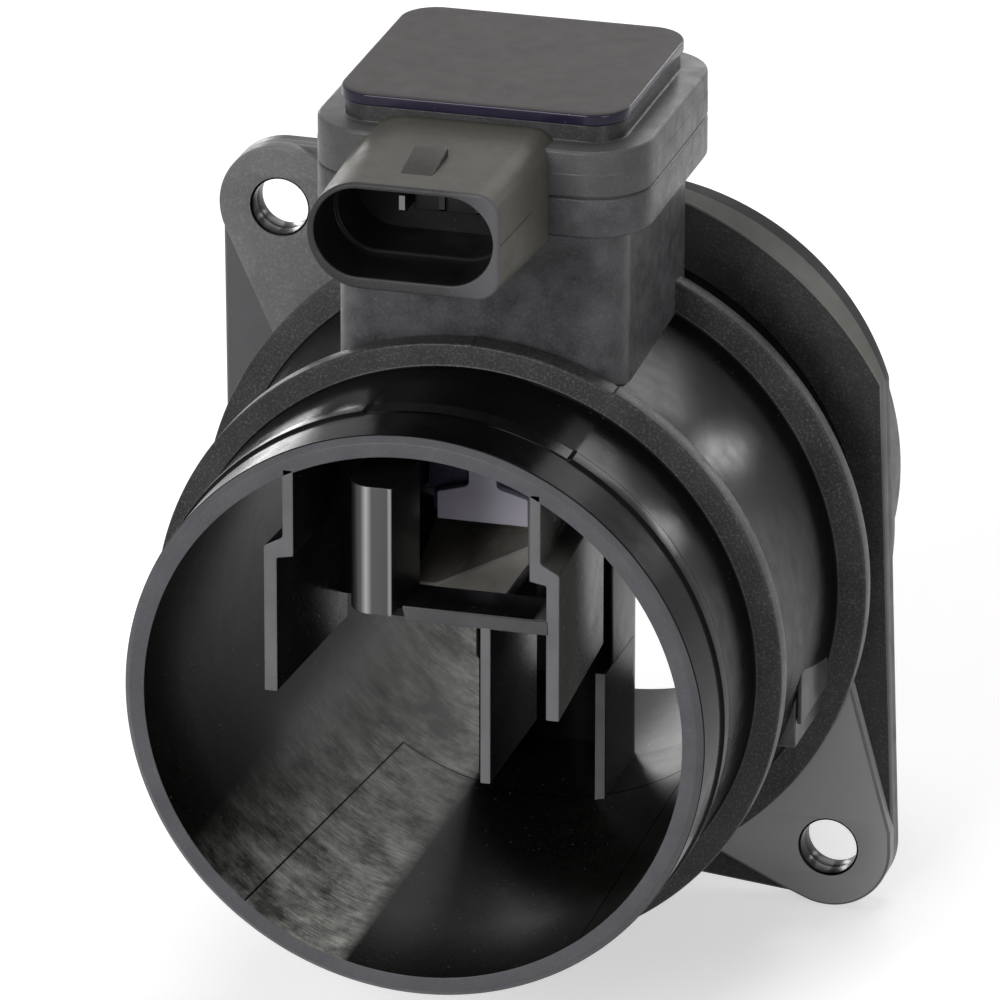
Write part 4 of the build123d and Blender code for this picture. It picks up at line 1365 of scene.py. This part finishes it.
    def lower_column(self, skin: Skin) -> None:
        """The open-fronted lower column: a U in plan.

        Args:
            skin: The mesh that takes the new surfaces.
        """
        x, wall = self.duct_x, self.leg_wall
        left, right = self.leg_front
        angle = np.linspace(0, math.pi, 30)
        ring = np.stack([np.cos(angle), np.sin(angle)], axis=1)
        nose = np.array([0, self.nose_y])
        outer = np.vstack([[x, right], x * ring + nose, [-x, left]])
        inner = np.vstack([[-x + wall, left], (x - wall) * ring[::-1] + nose, [x - wall, right]])
        outline = Outline.through(np.vstack([outer, inner]))
        rows = np.array([(0.0, -self.floor_r), (0.0, self.upper_z + 0.3)])
        skin.carry(outline, rows, Along.Z)
        edge = Outline.rectangle((x - wall, x, right - 0.02, right + 0.4), 0.12, 4)
        skin.carry(edge, rows, Along.Z, look=1)

    def ramp(self, skin: Skin) -> None:
        """The sloped floor in front of the sensing element, rising more at the right, with a painted highlight
        along its crest, painted light on its front and painted shade on its upper face.

        Args:
            skin: The mesh that takes the new surfaces.
        """
        x = self.duct_x - self.duct_wall + 0.1
        z = self.duct_z + self.duct_floor - 0.1
        across = np.linspace(-x, x, 24)
        front = np.maximum(0.05, self.ramp_slope * (across - self.ramp_start))
        left, right = self.ramp_back
        back = left + (right - left) * (across + x) / (2 * x)
        share = self.crest / (self.ramp_y[1] - self.ramp_y[0])
        loops = []
        for y, rise in ((self.ramp_y[0], front), (self.ramp_y[0] + self.crest, front + share * (back - front)),
                        (self.ramp_y[1], back)):
            top = np.stack([across, np.full(24, y), z + rise], axis=1)
            base = np.array([[x, y, z - 0.4], [-x, y, z - 0.4]])
            loops.append(np.vstack([top, base]))
        # looks: 5 is the crest's painted highlight, 6 the upper face's painted shade; the caps take the front's
        # painted light
        skin.grid(np.stack(loops), look=np.array([5, 6]))
        skin.cap([loops[0]], 3)
        skin.cap([loops[-1]], 3)

    def build(self, materials: Materials) -> None:
        """Makes the whole channel body as one piece.

        Args:
            materials: The finished materials by name.
        """
        skin = Skin("bypass_channel")
        self.side_walls(skin)
        self.post(skin)
        self.shelf_and_keel(skin)
        self.rear_walls(skin)
        self.duct(skin)
        self.ramp(skin)
        names = ("channel_wall", "channel_edge", "post_plastic", "ramp_front_painted_light", "shelf_edge",
                 "crest_painted_highlight", "ramp_top_painted_shade")
        skin.build([materials[name] for name in names], "tube_plastic", ("flow_tube",))


@dataclass
class Module:
    """The module's frame with its plateau, the drafted plug shell, its socket and latch ramp."""

    box: tuple[float, float, float, float] = (-23.15, 23.15, -49.1, -5.0)
    corner: float = 8.5
    low_z: float = 65.35
    line_z: float = 68.4
    top_z: float = 71.7
    inset: float = 3.75
    plateau_z: float = 74.2
    socket_x: tuple[float, float] = (-15.25, 9.2)
    socket_z: tuple[float, float] = (59.2, 71.5)
    front_y: float = -70.3
    root_y: float = -44.35
    step_y: float = -60.6
    back_y: float = -51.3
    step: float = 0.5
    shell: tuple[float, float, float, float] = (1.0, 0.9, 1.65, 0.85)
    shell_corner: float = 3.2
    draft: float = 0.95
    latch: tuple[float, float, float, float, float] = (-4.8, -0.3, -66.4, -58.0, 1.1)
    rib: Point = (-4.5, 5.3, 65.4)
    rib_front: float = -59.4
    rib_top: float = 72.0
    brace: tuple[tuple[float, float], ...] = ((-7.25, 68.35), (-6.05, 66.75), (-6.05, 72.0), (-8.65, 72.0))

    def frame(self, materials: Materials) -> None:
        """Carries the frame's profile round the plan.

        Args:
            materials: The finished materials by name.
        """
        rows = soft_line([(-4.0, self.low_z, 0), (0, self.low_z, 0.2), (0, self.line_z, 0.05),
                          (-0.04, self.line_z + 0.12, 0.05), (-0.04, self.top_z, 0.5),
                          (-self.inset, self.top_z, 0.3), (-self.inset, self.plateau_z, 0.25),
                          (-self.inset - 3.0, self.plateau_z, 0)])
        middle = (rows[1:] + rows[:-1]) / 2
        # look 1 is the plateau's wall under the lid, in painted shade
        looks = np.where((np.abs(middle[:, 0] + self.inset) < 0.15) & (middle[:, 1] > self.top_z + 0.1), 1, 0)
        skin = Skin("module_frame_skin")
        skin.carry(Outline.rectangle(self.box, self.corner, 14), rows, Along.Z, caps=False, look=looks)
        skin.build([materials["frame_plastic"], materials["plateau_wall_painted_shade"]], "frame_plastic", ("module_frame",))

    def shell_outline(self, grow: float) -> Outline:
        """The plug shell's section: round at the left, soft corners at the right.

        Args:
            grow: How far it is moved out.

        Returns:
            The outline in X and Z.
        """
        left, right, below, above = self.shell
        x0, x1 = self.socket_x[0] - left - grow, self.socket_x[1] + right + grow
        z0, z1 = self.socket_z[0] - below - grow, self.socket_z[1] + above + grow
        half = (z1 - z0) / 2 - 0.01
        soft = self.shell_corner
        return Outline.rounded([(x0, z0, half), (x1, z0, soft), (x1, z1, soft), (x0, z1, half)], 24)

    def socket_outline(self, inset: float) -> Outline:
        """The socket's long round section.

        Args:
            inset: How far it is moved in.

        Returns:
            The outline in X and Z.
        """
        x0, x1 = self.socket_x[0] + inset, self.socket_x[1] - inset
        z0, z1 = self.socket_z[0] + inset, self.socket_z[1] - inset
        half = (z1 - z0) / 2 - 0.01
        return Outline.rounded([(x0, z0, half), (x1, z0, half), (x1, z1, half), (x0, z1, half)], 24)

    def plug_shell(self, materials: Materials) -> None:
        """The shell from its root to the front lip and back down the socket to its floor.

        Args:
            materials: The finished materials by name.
        """
        front, root = self.shell_outline(0.0), self.shell_outline(self.draft)
        lip = 0.45
        loops = [(root.points, self.root_y), (front.points, self.front_y + lip)]
        loops += [(front.moved_out(-lip * (1 - math.cos(a))), self.front_y + lip * (1 - math.sin(a)))
                  for a in np.linspace(0.3, math.pi / 2, 4)]
        wide, narrow = self.socket_outline(0.0), self.socket_outline(self.step)
        loops += [(wide.moved_out(0.25 * (1 - math.sin(a))), self.front_y + 0.25 * (1 - math.cos(a)))
                  for a in np.linspace(0, math.pi / 2, 4)]
        loops += [(wide.points, self.step_y - 0.1), (wide.moved_out(-0.1), self.step_y),
                  (narrow.moved_out(0.1), self.step_y), (narrow.points, self.step_y + 0.1),
                  (narrow.points, self.back_y)]
        # looks: 2 is the lip, with painted light towards the right; 1 is the socket's inside, in painted shade
        looks = np.array([0] + [2] * 8 + [1] * (len(loops) - 10))
        skin = Skin("plug_shell")
        skin.grid(np.stack([Along.Y.place(points, y) for points, y in loops]), look=looks)
        skin.cap([Along.Y.place(narrow.points, self.back_y)], 1)
        self.latch_ramp(skin)
        self.key_rib(skin)
        names = ("shell_plastic", "socket_inside_painted_shade", "shell_lip", "latch_painted_shade")
        skin.build([materials[name] for name in names], "frame_plastic", ("module_frame",))

    def latch_ramp(self, skin: Skin) -> None:
        """The low wedge that the plug's latch rides over.

        Args:
            skin: The mesh that takes the new surfaces.
        """
        x0, x1, y0, y1, rise = self.latch
        top = self.socket_z[1] + self.shell[3]
        high = top + self.draft * (y1 - self.front_y) / (self.root_y - self.front_y) + rise
        side = Outline.rounded([(y0, top - 0.3, 0.05), (y1, top - 0.3, 0.05), (y1, high, 0.15), (y0, top, 0.3)], 5)
        # the wedge takes the latch's painted shade
        skin.carry(side, edge_rows(x0, x1, 0.15), Along.X, look=3)

    def key_rib(self, skin: Skin) -> None:
        """The coding rib in the socket's roof and the brace beside the first blade.

        Args:
            skin: The mesh that takes the new surfaces.
        """
        left, right, low = self.rib
        rear = self.back_y + 0.5
        # the rib and brace take the socket's painted shade
        skin.box((left, self.rib_front, low), (right, rear, self.rib_top), 0.12, look=1)
        brace = Outline.rounded([(x, z, 0.1) for x, z in self.brace], 3)
        skin.carry(brace, edge_rows(self.rib_front, rear, 0.12), Along.Y, look=1)

    def build(self, materials: Materials) -> None:
        """Makes the frame and the plug shell."""
        self.frame(materials)
        self.plug_shell(materials)


@dataclass
class Lid:
    """The lid: a flat matte top with a soft glossy edge."""

    box: tuple[float, float, float, float] = (-19.85, 19.85, -45.8, -8.3)
    corner: float = 5.2
    low_z: float = 74.2
    top_z: float = 75.9
    edge: float = 0.45

    def build(self, materials: Materials) -> None:
        """Carries the edge round the plan and closes the top.

        Args:
            materials: The finished materials by name.
        """
        rows = soft_line([(-2.0, self.low_z, 0), (0, self.low_z, 0.25), (0, self.top_z, self.edge),
                          (-1.4, self.top_z, 0)], 7)
        outline = Outline.rectangle(self.box, self.corner, 16)
        skin = Skin("lid_plate")
        middle = (rows[1:] + rows[:-1]) / 2
        looks = np.where(middle[:, 1] < self.top_z - 0.3 * self.edge, 1, 0)
        net = np.stack([Along.Z.place(outline.moved_out(offset), z) for offset, z in rows])
        skin.grid(net, look=looks)
        skin.cap([net[-1]], 0)
        skin.cap([net[0]], 1)
        skin.build([materials["lid_top"], materials["lid_edge"]], "lid_plastic", ("lid",))


@dataclass
class Element:
    """The T-shaped sensing element and the carrier behind it."""

    centre_x: float = -0.35
    y: float = -41.1
    thick: float = 1.6
    half: float = 6.35
    neck: float = 1.95
    low_z: float = 14.4
    side_z: float = 18.3
    neck_z: float = 19.5
    top_z: float = 30.0
    stem_half: float = 8.4
    stem_z: float = 17.8
    stem_t: float = 4.2
    stem_top: float = 60.4
    tongue: tuple[float, float, float, float] = (-7.7, 5.7, 15.0, 1.4)
    shoulder: tuple[float, float] = (43.5, 58.0)
    flange: float = 2.0

    def build(self, materials: Materials) -> None:
        """Makes the element's plate, then the carrier's stem, tongue and shoulder.

        Args:
            materials: The finished materials by name.
        """
        half, neck = self.half, self.neck
        right = [(half, self.low_z, 0.15), (half, self.side_z, 0.4), (neck, self.neck_z, 0.9),
                 (neck, self.top_z, 0.1)]
        corners = right + [(-x, z, r) for x, z, r in reversed(right)]
        outline = Outline.rounded([(x + self.centre_x, z, r) for x, z, r in corners], 8)
        plate = Skin("element_plate")
        plate.carry(outline, edge_rows(self.y, self.y + self.thick, 0.12), Along.Y)
        plate.build([materials["element_plastic"]], "element_plastic", ("sensing_element",))
        rear = self.y + self.thick
        carrier = Skin("element_stem")
        carrier.box((-self.stem_half, rear, self.stem_z), (self.stem_half, rear + self.stem_t, self.stem_top), 0.2)
        x0, x1, z0, deep = self.tongue
        carrier.box((x0, rear, z0), (x1, rear + deep, self.stem_z + 0.6), 0.1)
        carrier.box((-self.stem_half - self.flange, rear - self.flange, self.shoulder[0]),
                    (self.stem_half + self.flange, rear + self.stem_t + self.flange, self.shoulder[1]), 0.3)
        carrier.build([materials["carrier_plastic"]], "carrier_plastic", ("element_carrier",))


@dataclass
class StudioCamera:
    """The camera of the photograph: turned about Z, tilted down, and far away."""

    azimuth_deg: float = 15.661
    elevation_deg: float = 21.463
    roll_deg: float = 0.088
    focal_px: float = 10722.8
    centre_mm: Point = (365.44, -1337.12, 547.15)
    frame_px: int = 1000
    sensor_mm: float = 36.0

    def build(self) -> None:
        """Adds the camera and makes it the scene's."""
        azimuth, elevation, roll = (math.radians(v) for v in
                                    (self.azimuth_deg, self.elevation_deg, self.roll_deg))
        right = Vector((math.cos(azimuth), math.sin(azimuth), 0.0))
        forward = Vector((-math.sin(azimuth) * math.cos(elevation),
                          math.cos(azimuth) * math.cos(elevation), -math.sin(elevation)))
        up = right.cross(forward)
        level = Matrix((right * math.cos(roll) + up * math.sin(roll),
                        up * math.cos(roll) - right * math.sin(roll), -forward)).transposed()
        data = bpy.data.cameras.new("studio_camera")
        data.sensor_width = self.sensor_mm
        data.lens = self.focal_px * self.sensor_mm / self.frame_px
        data.clip_start, data.clip_end = 0.05, 20.0
        camera = bpy.data.objects.new("studio_camera", data)
        camera.matrix_world = Matrix.Translation(Vector(self.centre_mm) * MM) @ level.to_4x4()
        bpy.context.scene.collection.objects.link(camera)
        bpy.context.scene.camera = camera


def seen_rays(tree: bpy.types.NodeTree) -> Socket:
    """1 for rays from the camera and for mirrored and refracted ones, and 0 for diffuse ones.

    Args:
        tree: The node tree that gets the nodes.

    Returns:
        The socket that carries the answer.
    """
    path = tree.nodes.new("ShaderNodeLightPath")
    seen = path.outputs["Is Camera Ray"]
    for name in ("Is Glossy Ray", "Is Transmission Ray"):
        larger = tree.nodes.new("ShaderNodeMath")
        larger.operation = "MAXIMUM"
        tree.links.new(seen, larger.inputs[0])
        tree.links.new(path.outputs[name], larger.inputs[1])
        seen = larger.outputs[0]
    return seen


@dataclass(frozen=True)
class SoftBox:
    """One rectangular soft box that faces the object; place, size and aim are in metres."""

    name: str
    place: Point
    size: tuple[float, float]
    watts: float
    aim: Point = (0.0, -0.03, 0.01)

    def build(self) -> None:
        """Adds the lamp, turned so that its face looks at the aim."""
        data = bpy.data.lights.new(self.name, "AREA")
        data.shape = "RECTANGLE"
        data.size, data.size_y = self.size
        data.energy = self.watts
        lamp = bpy.data.objects.new(self.name, data)
        direction = Vector(self.aim) - Vector(self.place)
        lamp.matrix_world = (Matrix.Translation(Vector(self.place))
                             @ direction.to_track_quat("-Z", "Y").to_matrix().to_4x4())
        bpy.context.scene.collection.objects.link(lamp)


@dataclass
class Studio:
    """Soft boxes, a white surround and a pale floor that keeps the shadow."""

    lamps: tuple[SoftBox, ...] = (
        SoftBox("key_box", (-0.45, -1.4, 0.62), (0.8, 0.7), 17.0),
        SoftBox("right_box", (1.15, -1.0, 0.1), (0.5, 0.9), 6.6),
        SoftBox("top_box", (0.0, 0.1, 1.4), (0.8, 0.8), 6.5),
        SoftBox("back_box", (0.10, 1.25, 0.56), (0.75, 0.40), 3.4),
        SoftBox("back_right_box", (0.570, 1.254, 0.238), (0.26, 0.12), 1.1),
        SoftBox("back_left_box", (-0.62, 1.2, 0.08), (0.3, 0.26), 1.8),
    )
    floor_z: float = -0.0523
    floor_reach: float = 3.0
    floor_grey: float = 0.8
    floor_roughness: float = 0.9
    floor_lift: float = 0.55
    world_strength: float = 0.07

    def world(self) -> None:
        """A surround that is white where the camera sees it."""
        world = bpy.data.worlds.new("surround")
        world.use_nodes = True
        tree = world.node_tree
        tree.nodes.clear()
        out = tree.nodes.new("ShaderNodeOutputWorld")
        mix = tree.nodes.new("ShaderNodeMixShader")
        tree.links.new(seen_rays(tree), mix.inputs[0])
        for slot, strength in ((1, self.world_strength), (2, 1.0)):
            white = tree.nodes.new("ShaderNodeBackground")
            white.inputs["Color"].default_value = WHITE
            white.inputs["Strength"].default_value = strength
            tree.links.new(white.outputs[0], mix.inputs[slot])
        tree.links.new(mix.outputs[0], out.inputs["Surface"])
        bpy.context.scene.world = world

    def floor(self) -> None:
        """The pale floor: one square."""
        mesh = bpy.data.meshes.new("floor")
        corners = self.floor_reach * np.array([(-1, -1), (1, -1), (1, 1), (-1, 1)])
        mesh.from_pydata([(x, y, self.floor_z) for x, y in corners.tolist()], [], [(0, 1, 2, 3)])
        graph = NodeGraph("floor_paper")
        graph.shader.inputs["Base Color"].default_value = (self.floor_grey,) * 3 + (1.0,)
        graph.shader.inputs["Roughness"].default_value = self.floor_roughness
        graph.shader.inputs["Emission Color"].default_value = WHITE
        lift = graph.math("MULTIPLY", seen_rays(graph.tree), self.floor_lift)
        graph.link(lift, graph.shader.inputs["Emission Strength"])
        mesh.materials.append(graph.material)
        floor = bpy.data.objects.new("floor", mesh)
        bpy.context.scene.collection.objects.link(floor)

    def build(self) -> None:
        """Adds the lamps, the surround and the floor."""
        for lamp in self.lamps:
            lamp.build()
        self.world()
        self.floor()


def dress_frame_nodes(frame: dict, materials: Materials) -> None:
    """Gives each CAD node its own finish or its slot's; the ones shown as they are need no piece.

    Args:
        frame: The loaded frame.
        materials: The finished materials by name.
    """
    slots = {part["node"]: part["material_slot"] for part in frame["record"]["subparts"]}
    for node, obj in frame["nodes"].items():
        obj.data.materials.clear()
        finish = NODE_FINISH.get(node) or SLOT_FINISH.get(slots[node], slots[node])
        obj.data.materials.append(materials[finish])


def main() -> None:
    """Builds the dressed sensor in order."""
    logging.basicConfig(level=logging.INFO)
    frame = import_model()
    materials = {name: finish.build() for name, finish in FINISHES.items()}
    dress_frame_nodes(frame, materials)
    for part in (Tube(), Flange(), Tower(), FlankRibs(), Channel(), Module(), Lid(), Element()):
        part.build(materials)
        LOG.info("made %s", type(part).__name__)
    bpy.context.scene.view_settings.view_transform = "Standard"
    StudioCamera().build()
    Studio().build()


if __name__ == "__main__":
    main()
